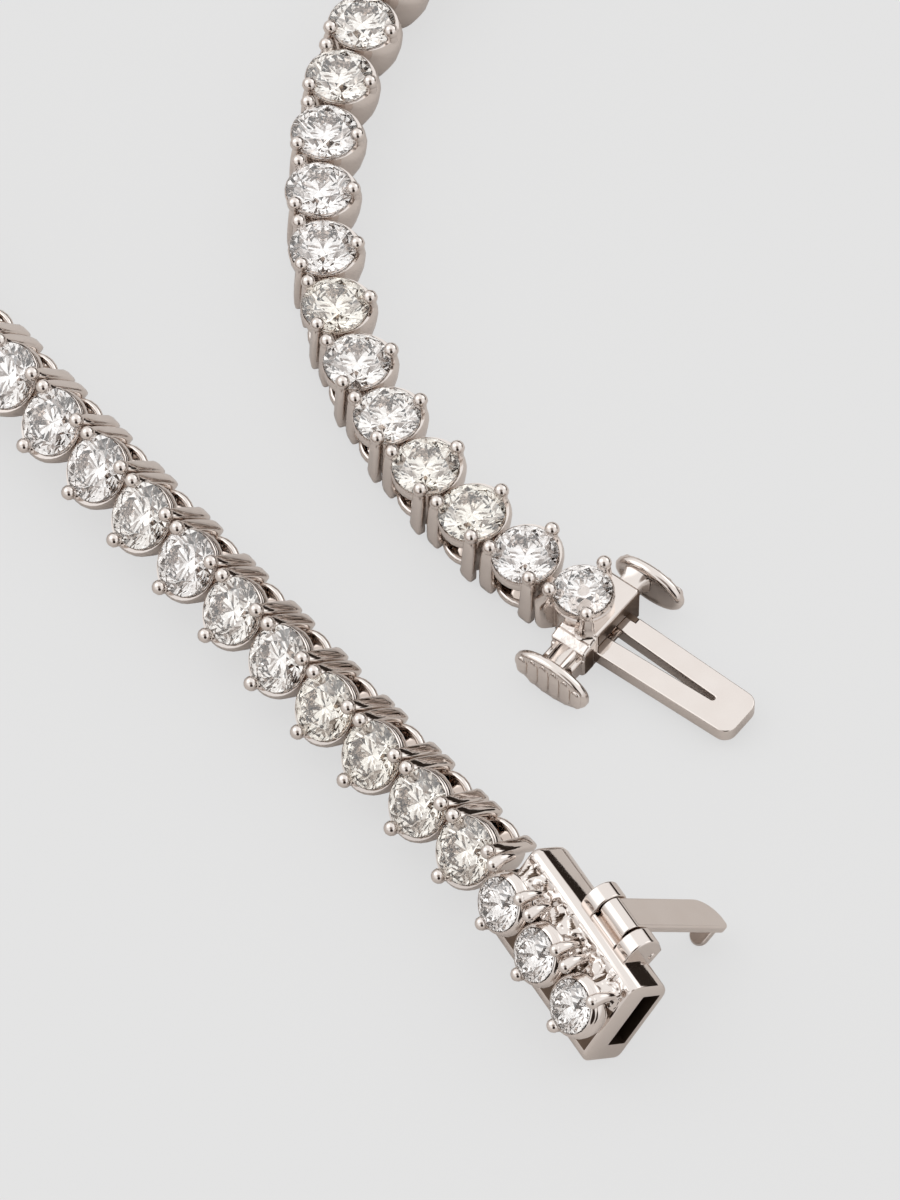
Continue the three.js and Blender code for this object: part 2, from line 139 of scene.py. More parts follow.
def linear(colour: str) -> Quad:
    """Turn an sRGB hex colour into the linear one that shaders take.

    Args:
        colour: Such as "#D5CFC9".

    Returns:
        Red, green, blue and an alpha of 1.
    """
    parts = (int(colour[i : i + 2], 16) / 255 for i in (1, 3, 5))
    red, green, blue = (p / 12.92 if p <= 0.04045 else ((p + 0.055) / 1.055) ** 2.4 for p in parts)
    return red, green, blue, 1.0


def blend(
    tree: bpy.types.NodeTree, share: bpy.types.NodeSocket, low: str, high: str
) -> bpy.types.NodeSocket:
    """Blend two colours.

    Args:
        tree: The tree that it goes into.
        share: How much of the second colour there is, from 0 to 1.
        low: The first colour, in hex.
        high: The second colour, in hex.

    Returns:
        The blended colour.
    """
    node = add_node(
        tree,
        "ShaderNodeMix",
        settings={"data_type": "RGBA"},
        values={MIX_LOW: linear(low), MIX_HIGH: linear(high)},
        links={MIX_SHARE: share},
    )
    return node.outputs[MIX_RESULT]


def new_material(name: str) -> bpy.types.Material:
    """Add a material whose tree is still empty.

    Args:
        name: Its name.

    Returns:
        The material.
    """
    made = bpy.data.materials.new(name)
    made.use_nodes = True
    made.node_tree.nodes.clear()
    return made


def surface(
    tree: bpy.types.NodeTree,
    values: dict[str | int, object],
    links: dict[str | int, bpy.types.NodeSocket] | None = None,
) -> None:
    """Add the shader that a material shows.

    Args:
        tree: The material's tree.
        values: Constants for the shader's inputs, by socket.
        links: Sockets that feed its inputs, by socket.
    """
    shader = add_node(tree, "ShaderNodeBsdfPrincipled", values=values, links=links)
    add_node(tree, "ShaderNodeOutputMaterial", links={"Surface": shader.outputs["BSDF"]})


# ---- Finishes ------------------------------------------------------------------------------------


@dataclass(frozen=True)
class Polish:
    """A finish of 18 carat white gold. Sizes are in millimetres.

    White gold is a warm grey alloy, cast and then plated with rhodium. The eye gets a near white mirror
    with a faint blush, which shows its shape only by what it reflects.
    """

    name: str
    colour: str = "#E3DCD7"
    worn_colour: str = "#DBD2CC"
    smoothest: float = 0.035
    roughest: float = 0.085
    wave: float = 1.3
    wave_depth: float = 0.0035
    wave_detail: float = 2.0
    hairline: float = 0.07
    hairline_depth: float = 0.00035
    hairline_detail: float = 3.0
    smooth_under: float = 0.3  # the hairlines' noise where the finish is at its smoothest
    rough_over: float = 0.7  # and at its roughest

    def material(self) -> bpy.types.Material:
        """Make the finish: soft waves from hand polishing, fine hairlines, and a little wear.

        Returns:
            The material.
        """
        made = new_material(self.name)
        tree = made.node_tree
        place = add_node(tree, "ShaderNodeTexCoord").outputs["Object"]
        wave = self._noise(tree, place, self.wave, self.wave_detail)
        hairline = self._noise(tree, place, self.hairline, self.hairline_detail)
        soft = add_node(
            tree,
            "ShaderNodeBump",
            values={"Strength": 1.0, "Distance": self.wave_depth * MM},
            links={"Height": wave},
        )
        fine = add_node(
            tree,
            "ShaderNodeBump",
            values={"Strength": 1.0, "Distance": self.hairline_depth * MM},
            links={"Height": hairline, "Normal": soft.outputs["Normal"]},
        )
        rough = add_node(
            tree,
            "ShaderNodeMapRange",
            values={
                "From Min": self.smooth_under,
                "From Max": self.rough_over,
                "To Min": self.smoothest,
                "To Max": self.roughest,
            },
            links={"Value": hairline},
        )
        links = {
            "Base Color": blend(tree, wave, self.colour, self.worn_colour),
            "Roughness": rough.outputs["Result"],
            "Normal": fine.outputs["Normal"],
        }
        surface(tree, {"Metallic": 1.0}, links)
        return made

    def _noise(
        self, tree: bpy.types.NodeTree, place: bpy.types.NodeSocket, size: float, detail: float
    ) -> bpy.types.NodeSocket:
        """Add noise whose lumps are so many millimetres across.

        Args:
            tree: The tree that it goes into.
            place: The point that is shaded.
            size: The lumps' size in millimetres.
            detail: How many finer layers lie on them.

        Returns:
            The noise, from 0 to 1.
        """
        node = add_node(
            tree,
            "ShaderNodeTexNoise",
            values={"Scale": 1 / (size * MM), "Detail": detail},
            links={"Vector": place},
        )
        return node.outputs["Fac"]


@dataclass(frozen=True)
class Brilliance:
    """Faceted and polished diamond, near colourless, with a warmer stone here and there.

    Its high refraction throws back most of the light that enters the table, so the facets read as
    bright and dark flakes and hardly anything shows through.
    """

    name: str = "brilliant"
    white: str = "#F9F6F4"
    warm: str = "#F8F3E9"
    refraction: float = 2.42
    body_colour_from: float = 0.35  # the tint above which a stone grows warmer

    def material(self) -> bpy.types.Material:
        """Make the finish. Each stone's own body colour comes from its tint.

        Returns:
            The material.
        """
        made = new_material(self.name)
        tree = made.node_tree
        tint = add_node(tree, "ShaderNodeAttribute", settings={"attribute_name": TINT})
        share = add_node(
            tree,
            "ShaderNodeMapRange",
            values={"From Min": self.body_colour_from, "From Max": 1.0, "To Min": 0.0, "To Max": 1.0},
            links={"Value": tint.outputs["Fac"]},
        )
        colour = blend(tree, share.outputs["Result"], self.white, self.warm)
        values = {"Roughness": 0.0, "IOR": self.refraction, "Transmission Weight": 1.0}
        surface(tree, values, {"Base Color": colour})
        return made


TINT = "tint"
# White gold, buffed by hand and rhodium plated: a clear mirror whose reflections swim a little.
MIRROR = Polish("polished_white_gold")
# The same on parts as small as links, tumbled and then buffed: the swimming is tighter, edges glint.
LINK_POLISH = Polish("link_white_gold", wave=0.9, wave_depth=0.004)
# White gold as it was cast, only brushed over before plating: rippled like melted wax, bright in beads.
CAST = Polish("cast_white_gold", smoothest=0.06, roughest=0.14, wave=0.42, wave_depth=0.03)
# Dark, brown and dull white gold that stands for shade: painted shade in the box's slot, among its
# settings,
# # in its apron's pits, and in and on the tongue's bar.
PAINTED_SHADE = Polish(
    "recess_white_gold", colour="#7C6B5E", worn_colour="#5E5046", smoothest=0.35, roughest=0.5
)
# Diamond, faceted and polished: no colour of its own, cut up into bright and dark flakes, each with a
# hard edge.
DIAMOND = Brilliance()


# ---- Shaping -------------------------------------------------------------------------------------


def arc(centre: Point, radius: float, start: float, end: float, steps: int) -> list[Point]:
    """Points on an arc.

    Args:
        centre: The arc's centre.
        radius: Its radius.
        start: Where it starts, in degrees.
        end: Where it ends, in degrees.
        steps: How many chords it has.

    Returns:
        The points, both ends included.
    """
    angles = [math.radians(start + (end - start) * i / steps) for i in range(steps + 1)]
    return [(centre[0] + radius * math.cos(a), centre[1] + radius * math.sin(a)) for a in angles]


def rounded(
    low: Point, high: Point, radii: Sequence[float], inset: float = 0.0, steps: int = 5
) -> list[Point]:
    """A rectangle with a round of its own at each corner.

    Args:
        low: The lowest corner.
        high: The highest corner.
        radii: The rounds, from the highest corner anticlockwise.
        inset: How far the whole outline is drawn in.
        steps: The chords in each round.

    Returns:
        The outline, anticlockwise.
    """
    points: list[Point] = []
    corners = ((1, 1), (-1, 1), (-1, -1), (1, -1))
    for quarter, ((right, up), radius) in enumerate(zip(corners, radii)):
        left_over = max(radius - inset, LEAST_ROUND)
        x = high[0] - inset - left_over if right > 0 else low[0] + inset + left_over
        y = high[1] - inset - left_over if up > 0 else low[1] + inset + left_over
        points += arc((x, y), left_over, 90 * quarter, 90 * (quarter + 1), steps)
    return points


def oval(
    centre: Vector, across: Vector, deep: Vector, sides: int = 8, squareness: float = 1.0
) -> Section:
    """The points of an oval, or of a rounded rectangle.

    Args:
        centre: The middle.
        across: From there to one side.
        deep: From there to another side, square to the first.
        sides: How many points there are.
        squareness: 1 for an oval, and well under 1 for a rounded rectangle.

    Returns:
        The points in order.
    """
    points = []
    for i in range(sides):
        angle = math.tau * (i + 0.5) / sides
        c, s = math.cos(angle), math.sin(angle)
        along = math.copysign(abs(c) ** squareness, c)
        inward = math.copysign(abs(s) ** squareness, s)
        points.append(centre + across * along + deep * inward)
    return points


def plane_to(x: Vector, y: Vector, at: Vector | None = None) -> Matrix:
    """The matrix that lays a drawing's axes along two directions, with its Z square to both.

    Args:
        x: Where the drawing's X goes.
        y: Where its Y goes.
        at: Where its origin goes.

    Returns:
        The matrix.
    """
    turn = Matrix((x, y, x.cross(y))).transposed().to_4x4()
    return Matrix.Translation(at or Vector()) @ turn


YZ_PLANE = plane_to(Vector((0, 1, 0)), Vector((0, 0, 1)))  # drawn in Y and Z, drawn out along X
XZ_PLANE = plane_to(Vector((0, 0, 1)), Vector((1, 0, 0)))  # drawn in Z and X, drawn out along Y


class Form:
    """A shape in the making, in millimetres in its sub-assembly's frame."""

    EDGE_STEPS = 2  # how finely a plate's edge is rounded

    def __init__(self) -> None:
        """Start with nothing."""
        self.mesh = bmesh.new()

    def loft(self, sections: Sequence[Section], closed: bool = False) -> None:
        """Skin over sections that have as many points each.

        Args:
            sections: The sections in order.
            closed: Whether the last section joins the first one. If not, both ends are capped.
        """
        rows = [[self.mesh.verts.new(point) for point in section] for section in sections]
        pairs = list(zip(rows, rows[1:])) + ([(rows[-1], rows[0])] if closed else [])
        for near, far in pairs:
            for i, corner in enumerate(near):
                after = (i + 1) % len(near)
                self.mesh.faces.new((corner, near[after], far[after], far[i]))
        if not closed:
            self.mesh.faces.new(rows[0])
            self.mesh.faces.new(rows[-1])

    def turn(self, profile: Sequence[Point], sides: int, place: Matrix | None = None) -> None:
        """Turn a profile about +Z, all the way round.

        Args:
            profile: Its points, as radius and height.
            sides: How many times it is repeated.
            place: Where the axis goes.
        """
        sections = []
        for i in range(sides):
            spin = Matrix.Rotation(math.tau * i / sides, 4, "Z")
            sections.append([(place or Matrix()) @ spin @ Vector((r, 0, h)) for r, h in profile])
        self.loft(sections, closed=True)

    def ball(self, centre: Vector, radius: float, sides: int = 12, rows: int = 6) -> None:
        """Add a ball.

        Args:
            centre: Its middle.
            radius: Its radius.
            sides: How many sides it has round +Z.
            rows: How many rows it has from pole to pole.
        """
        profile = [(max(r, 0.0), h) for r, h in arc((0, 0), radius, -90, 90, rows)]
        self.turn(profile, sides, Matrix.Translation(centre))

    def plate(
        self,
        outlines: Sequence[Sequence[Point]],
        low: float,
        high: float,
        edge: float,
        place: Matrix | None = None,
    ) -> None:
        """Draw a flat outline out into a plate with rounded edges.

        Args:
            outlines: The outline, and any holes in it.
            low: Where the plate starts on the drawing's own Z.
            high: Where it ends.
            edge: The radius of its edges, inside the outline.
            place: Where the drawing lies.
        """
        curve = bpy.data.curves.new("outline", "CURVE")
        curve.dimensions = "2D"
        curve.fill_mode = "BOTH"
        curve.extrude = (high - low) / 2 - edge
        curve.bevel_depth = edge
        curve.bevel_resolution = self.EDGE_STEPS
        curve.offset = -edge
        for outline in outlines:
            spline = curve.splines.new("POLY")
            spline.points.add(len(outline) - 1)
            for corner, (x, y) in zip(spline.points, outline):
                corner.co = (x, y, 0, 1)
            spline.use_cyclic_u = True
        drawn = bpy.data.objects.new("outline", curve)
        bpy.context.scene.collection.objects.link(drawn)
        graph = bpy.context.evaluated_depsgraph_get()
        mesh = bpy.data.meshes.new_from_object(drawn.evaluated_get(graph), depsgraph=graph)
        bpy.data.objects.remove(drawn)
        bpy.data.curves.remove(curve)
        mesh.transform((place or Matrix()) @ Matrix.Translation((0, 0, (low + high) / 2)))
        self.mesh.from_mesh(mesh)
        bpy.data.meshes.remove(mesh)

    def block(self, low: Sequence[float], high: Sequence[float], edge: float) -> None:
        """Add a block between two corners, its edges rounded."""
        outline = [(low[0], low[1]), (high[0], low[1]), (high[0], high[1]), (low[0], high[1])]
        self.plate([outline], low[2], high[2], edge)

    def cast(
        self,
        name: str,
        place: Matrix,
        finish: bpy.types.Material | None,
        crease: float = 40,
        even: bool = False,
    ) -> bpy.types.Object:
        """Turn the shape into an object at the origin, its place in its mesh.

        Args:
            name: The object's name.
            place: From the sub-assembly's millimetres to the part's metres.
            finish: The material, if it has its own already.
            crease: Edges sharper than this many degrees stay crisp.
            even: Whether flat faces keep their own normals beside small rounded edges.

        Returns:
            The object.
        """
        bmesh.ops.remove_doubles(self.mesh, verts=self.mesh.verts, dist=SAME_PLACE)
        bmesh.ops.dissolve_degenerate(self.mesh, edges=self.mesh.edges, dist=NO_LENGTH)
        bmesh.ops.recalc_face_normals(self.mesh, faces=self.mesh.faces)
        mesh = bpy.data.meshes.new(name)
        self.mesh.to_mesh(mesh)
        self.mesh.free()
        mesh.transform(place)
        mesh.polygons.foreach_set("use_smooth", [crease > 0] * len(mesh.polygons))
        if crease > 0:
            mesh.set_sharp_from_angle(angle=math.radians(crease))
        if finish:
            mesh.materials.append(finish)
        made = bpy.data.objects.new(name, mesh)
        bpy.context.scene.collection.objects.link(made)
        if even:
            keep_flats(mesh, math.radians(crease))
        return made


FLAT_POWER = 3  # the power of its area that a face weighs by
OWN_SHARE = 1e-12  # what a face counts for at its own corner if nothing else does


def keep_flats(mesh: bpy.types.Mesh, crease: float) -> None:
    """Let flat faces reflect as flats, and leave the turning to the small faces that round their edges.

    Args:
        mesh: The finished mesh.
        crease: Faces that meet at more than this angle, in radians, don't shade into each other.
    """
    around: dict[int, list[int]] = {}
    for face in mesh.polygons:
        for corner in face.vertices:
            around.setdefault(corner, []).append(face.index)
    normals = [face.normal.copy() for face in mesh.polygons]
    weights = [(face.area / MM**2) ** FLAT_POWER for face in mesh.polygons]
    apart = math.cos(crease)
    turned: list[Vector] = []
    for face in mesh.polygons:
        for corner in face.vertices:
            total = normals[face.index] * OWN_SHARE
            for other in around[corner]:
                if normals[other].dot(normals[face.index]) > apart:
                    total = total + normals[other] * weights[other]
            turned.append(total.normalized())
    mesh.normals_split_custom_set(turned)


def settled(source: bpy.types.Object, name: str) -> bpy.types.Object:
    """Replace an object by a plain mesh of what its modifiers make of it.

    Args:
        source: The object, which is removed.
        name: The new object's name.

    Returns:
        The new object.
    """
    graph = bpy.context.evaluated_depsgraph_get()
    mesh = bpy.data.meshes.new_from_object(
        source.evaluated_get(graph), preserve_all_data_layers=True, depsgraph=graph
    )
    bpy.data.objects.remove(source)
    made = bpy.data.objects.new(name, mesh)
    mesh.name = name
    bpy.context.scene.collection.objects.link(made)
    return made


def present(
    piece: bpy.types.Object, body: Body, stands_for: Iterable[str] = ()
) -> bpy.types.Object:
    """Put a finished piece on its body, hide the CAD nodes it replaces, and report it.

    Args:
        piece: The finished piece.
        body: The body that it rides on.
        stands_for: The CAD nodes that it replaces.

    Returns:
        The piece.
    """
    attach(piece, body.value)
    for node in stands_for:
        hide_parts(node)
    triangles = sum(len(face.vertices) - 2 for face in piece.data.polygons)
    log.info("%s: %d triangles on %s", piece.name, triangles, body.value)
    return piece


# ---- Setting out what repeats --------------------------------------------------------------------


@dataclass
class Spot:
    """Where one copy goes: its place in the part's frame, and its turn and stretch there."""

    place: Vector
    heading: float = 0.0
    roll: float = 0.0
    stretch: Vector = field(default_factory=lambda: Vector((1, 1, 1)))


@dataclass
class SettingOut:
    """Sets copies of a pattern piece on a list of spots, with Geometry Nodes."""

    seed: int = 7
    spin: float = 0.0  # each copy turns by up to this about its own axis

    def tree(self) -> bpy.types.GeometryNodeTree:
        """Build the tree, or find it if it is there.

        Returns:
            The tree.
        """
        name = "set_out"
        if name in bpy.data.node_groups:
            return bpy.data.node_groups[name]
        tree = bpy.data.node_groups.new(name, "GeometryNodeTree")
        sockets = [
            ("Spots", "NodeSocketGeometry"),
            ("Pattern", "NodeSocketObject"),
            ("Finish", "NodeSocketMaterial"),
            ("Spin", "NodeSocketFloat"),
            ("Seed", "NodeSocketInt"),
        ]
        for label, kind in sockets:
            tree.interface.new_socket(label, in_out="INPUT", socket_type=kind)
        tree.interface.new_socket("Copies", in_out="OUTPUT", socket_type="NodeSocketGeometry")
        given = add_node(tree, "NodeGroupInput").outputs
        heading, roll = (self._attribute(tree, label, "FLOAT") for label in ("heading", "roll"))
        turn = add_node(tree, "ShaderNodeCombineXYZ", links={"X": roll, "Z": heading})
        pattern = add_node(tree, "GeometryNodeObjectInfo", links={"Object": given["Pattern"]})
        copies = add_node(
            tree,
            "GeometryNodeInstanceOnPoints",
            links={
                "Points": given["Spots"],
                "Instance": pattern.outputs["Geometry"],
                "Rotation": turn.outputs["Vector"],
                "Scale": self._attribute(tree, "stretch", "FLOAT_VECTOR"),
            },
        )
        chance = add_node(
            tree,
            "FunctionNodeRandomValue",
            settings={"data_type": "FLOAT"},
            links={3: given["Spin"], "Seed": given["Seed"]},
        )
        spin = add_node(tree, "ShaderNodeCombineXYZ", links={"Z": chance.outputs[1]})
        spun = add_node(
            tree,
            "GeometryNodeRotateInstances",
            links={"Instances": copies.outputs["Instances"], "Rotation": spin.outputs["Vector"]},
        )
        tint = add_node(
            tree,
            "FunctionNodeRandomValue",
            settings={"data_type": "FLOAT"},
            links={"Seed": given["Seed"]},
        )
        tinted = add_node(
            tree,
            "GeometryNodeStoreNamedAttribute",
            settings={"data_type": "FLOAT", "domain": "INSTANCE"},
            values={"Name": TINT},
            links={"Geometry": spun.outputs["Instances"], "Value": tint.outputs[1]},
        )
        real = add_node(
            tree, "GeometryNodeRealizeInstances", links={"Geometry": tinted.outputs["Geometry"]}
        )
        finished = add_node(
            tree,
            "GeometryNodeSetMaterial",
            links={"Geometry": real.outputs["Geometry"], "Material": given["Finish"]},
        )
        add_node(tree, "NodeGroupOutput", links={"Copies": finished.outputs["Geometry"]})
        return tree

    def _attribute(self, tree: bpy.types.NodeTree, name: str, kind: str) -> bpy.types.NodeSocket:
        """Read one of the spots' attributes.

        Args:
            tree: The tree that reads it.
            name: The attribute's name.
            kind: Its data type.

        Returns:
            Its value.
        """
        node = add_node(
            tree, "GeometryNodeInputNamedAttribute", settings={"data_type": kind}, values={"Name": name}
        )
        return next(socket for socket in node.outputs if socket.enabled and socket.name == "Attribute")

    def copies(
        self, name: str, pattern: bpy.types.Object, finish: bpy.types.Material, spots: Sequence[Spot]
    ) -> bpy.types.Object:
        """Set out the copies.

        Args:
            name: The new piece's name.
            pattern: What is copied, in metres in its own frame.
            finish: The copies' material.
            spots: Where they go.

        Returns:
            One plain mesh object that holds them all.
        """
        mesh = bpy.data.meshes.new(name)
        mesh.from_pydata([spot.place for spot in spots], [], [])
        for label in ("heading", "roll"):
            mesh.attributes.new(label, "FLOAT", "POINT").data.foreach_set(
                "value", [getattr(spot, label) for spot in spots]
            )
        mesh.attributes.new("stretch", "FLOAT_VECTOR", "POINT").data.foreach_set(
            "vector", [size for spot in spots for size in spot.stretch]
        )
        holder = bpy.data.objects.new(name, mesh)
        modifier = holder.modifiers.new("set_out", "NODES")
        modifier.node_group = self.tree()
        inputs = {"Pattern": pattern, "Finish": finish, "Spin": self.spin, "Seed": self.seed}
        for socket in modifier.node_group.interface.items_tree:
            if socket.in_out == "INPUT" and socket.name in inputs:
                modifier[socket.identifier] = inputs[socket.name]
        bpy.context.scene.collection.objects.link(holder)
        return settled(holder, name)


# ---- The lie of the necklace ---------------------------------------------------------------------


@dataclass
class Layout:
    """How the clasp's two ends lie, in millimetres, tied to the CAD frame by the tongue's stone."""

    tongue_at: Point = (6.0, -1.5)
    tongue_heading: float = -38.0
    box_at: Point = (7.43, -23.97)
    box_heading: float = -59.0
    box_roll: float = 55.5
    box_back_round: float = 0.3

    def to_part(self) -> Matrix:
        """From the layout's millimetres to the part's metres.

        Returns:
            The matrix that does it.
        """
        low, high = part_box("tongue_stone")
        middle = (low + high) / 2
        origin = Vector((middle.x - self.tongue_at[0] * MM, middle.y - self.tongue_at[1] * MM, 0))
        return Matrix.Translation(origin) @ Matrix.Scale(MM, 4)

    def tongue(self) -> Matrix:
        """The tongue end's frame: origin under its stone, +X to the tip."""
        turn = Matrix.Rotation(math.radians(self.tongue_heading), 4, "Z")
        return Matrix.Translation((*self.tongue_at, 0)) @ turn

    def box(self) -> Matrix:
        """The box's frame: +X out of the open end, +Y to the hinge side, +Z to the stones.

        Returns:
            The matrix from that frame to the layout's.
        """
        roll = math.radians(self.box_roll)
        sink = self.box_back_round * (1 - math.sin(roll) - math.cos(roll))
        turn = Matrix.Rotation(math.radians(self.box_heading), 4, "Z") @ Matrix.Rotation(roll, 4, "X")
        return Matrix.Translation((*self.box_at, sink)) @ turn


@dataclass(frozen=True)
class Stretch:
    """A stretch of the chain's way: straight, or a bend that turns left when its radius is positive."""

    start: Vector
    heading: float
    length: float
    radius: float = math.inf

    def at(self, distance: float) -> tuple[Vector, float]:
        """Go along the stretch.

        Args:
            distance: How far, in millimetres.

        Returns:
            The place and heading there.
        """
        turn = distance / self.radius
        chord = 2 * self.radius * math.sin(turn / 2) if turn else distance
        middle = self.heading + turn / 2
        return self.start + chord * Vector((math.cos(middle), math.sin(middle))), self.heading + turn


@dataclass
class Route:
    """The chain's way round, from the box to the tongue."""

    start: Vector
    end: Vector
    length: float
    leaving: float = math.radians(129.7)
    returning: float = math.radians(-116)
    end_bend_radius: float = 26.0
    end_heading: float = math.radians(-39.5)

    def stretches(self) -> list[Stretch]:
        """Two straights and the bend between them, worked out to close the loop, and the last bend.

        Returns:
            The stretches in order.
        """
        out, back = self.leaving, self.returning
        last_length = (self.end_heading - back) * self.end_bend_radius
        last_chord = Stretch(Vector((0, 0)), back, last_length, self.end_bend_radius).at(last_length)[0]
        gap = self.end - last_chord - self.start
        turn = out - back
        sums = Matrix(
            (
                (math.cos(out), math.sin(out) - math.sin(back), math.cos(back)),
                (math.sin(out), math.cos(back) - math.cos(out), math.sin(back)),
                (1, turn, 1),
            )
        )
        wanted = Vector((gap.x, gap.y, self.length - last_length))
        away_length, radius, home_length = sums.inverted() @ wanted
        away = Stretch(self.start, out, away_length)
        around = Stretch(away.at(away_length)[0], out, turn * radius, -radius)
        home = Stretch(around.at(around.length)[0], back, home_length)
        last = Stretch(home.at(home_length)[0], back, last_length, self.end_bend_radius)
        return [away, around, home, last]

    def along(self, distance: float) -> tuple[Vector, float]:
        """Go along the whole way.

        Args:
            distance: How far from its start, in millimetres.

        Returns:
            The place and heading there.
        """
        stretches = self.stretches()
        for stretch in stretches[:-1]:
            if distance <= stretch.length:
                return stretch.at(distance)
            distance -= stretch.length
        return stretches[-1].at(distance)


# ---- Stones --------------------------------------------------------------------------------------


@dataclass(frozen=True)
class RoundBrilliant:
    """A round brilliant of 57 facets, its girdle's top edge at a height.

    Its proportions are shares of its diameter.
    """

    diameter: float
    girdle_height: float
    table: float = 0.57
    crown: float = 0.155
    girdle: float = 0.04
    pavilion: float = 0.43
    star: float = 0.52  # how far the star facets reach from the table to the girdle
    lower_halves: float = 0.77  # how far the lower halves reach from the girdle to the culet

    def form(self) -> Form:
        """Cut the stone.

        Returns:
            Its shape.
        """
        stone = Form()
        radius = self.diameter / 2
        top = self.crown * self.diameter
        table_radius = self.table * radius
        bottom = -(self.girdle + self.pavilion) * self.diameter
        girdle_low = -self.girdle * self.diameter
        slant = top / (radius - table_radius)
        eighth = math.tau / 8
        half = math.cos(eighth / 2)

        star_radius = table_radius * half + self.star * (radius - table_radius * half)
        star_height = slant * (radius - star_radius * half)
        half_radius = (1 - self.lower_halves) * radius
        half_height = bottom + (girdle_low - bottom) * half_radius * half / radius

        def at(r: float, eighths: float, z: float) -> bmesh.types.BMVert:
            """A corner.

            Args:
                r: Its distance from the axis.
                eighths: How far round it is, in eighths of a turn.
                z: Its height from the girdle's top edge.

            Returns:
                The corner.
            """
            angle = eighths * eighth
            return stone.mesh.verts.new(
                (r * math.cos(angle), r * math.sin(angle), self.girdle_height + z)
            )

        def on_facet(apex: tuple[float, float], rim: float) -> float:
            """Where a half facet meets the girdle, midway between its two corners there.

            Args:
                apex: The facet's other corner, as radius and height.
                rim: The height of its corners on the girdle.

            Returns:
                The height there.
            """
            inner = Vector((apex[0], 0, apex[1]))
            one = Vector((radius * math.cos(eighth / 2), radius * math.sin(eighth / 2), rim))
            other = Vector((radius, 0, rim))
            inner = Matrix.Rotation(eighth / 2, 3, "Z") @ inner
            normal = (one - inner).cross(other - inner)
            x, y = radius * math.cos(eighth / 4), radius * math.sin(eighth / 4)
            return inner.z - (normal.x * (x - inner.x) + normal.y * (y - inner.y)) / normal.z

        upper_dip = on_facet((star_radius, star_height), 0.0)
        lower_dip = on_facet((half_radius, half_height), girdle_low)
        table = [at(table_radius, k, top) for k in range(8)]
        stars = [at(star_radius, k + 0.5, star_height) for k in range(8)]
        halves = [at(half_radius, k + 0.5, half_height) for k in range(8)]
        culet = at(0, 0, bottom)
        upper = [at(radius, k / 4, upper_dip if k % 2 else 0.0) for k in range(32)]
        lower = [at(radius, k / 4, lower_dip if k % 2 else girdle_low) for k in range(32)]

        face = stone.mesh.faces.new
        face(table)
        for k in range(8):
            after, rim = (k + 1) % 8, 4 * k
            ahead, corner = (rim + 2) % 32, (rim + 4) % 32
            face((table[k], stars[k], table[after]))
            face((table[k], stars[k - 1], upper[rim], stars[k]))
            face((stars[k], upper[rim], upper[rim + 1], upper[ahead]))
            face((stars[k], upper[ahead], upper[rim + 3], upper[corner]))
            face((culet, halves[k], lower[rim], halves[k - 1]))
            face((halves[k], lower[ahead], lower[rim + 1], lower[rim]))
            face((halves[k], lower[corner], lower[rim + 3], lower[ahead]))
        for k in range(32):
            face((upper[k], lower[k], lower[(k + 1) % 32], upper[(k + 1) % 32]))
        return stone


# ---- The chain -----------------------------------------------------------------------------------


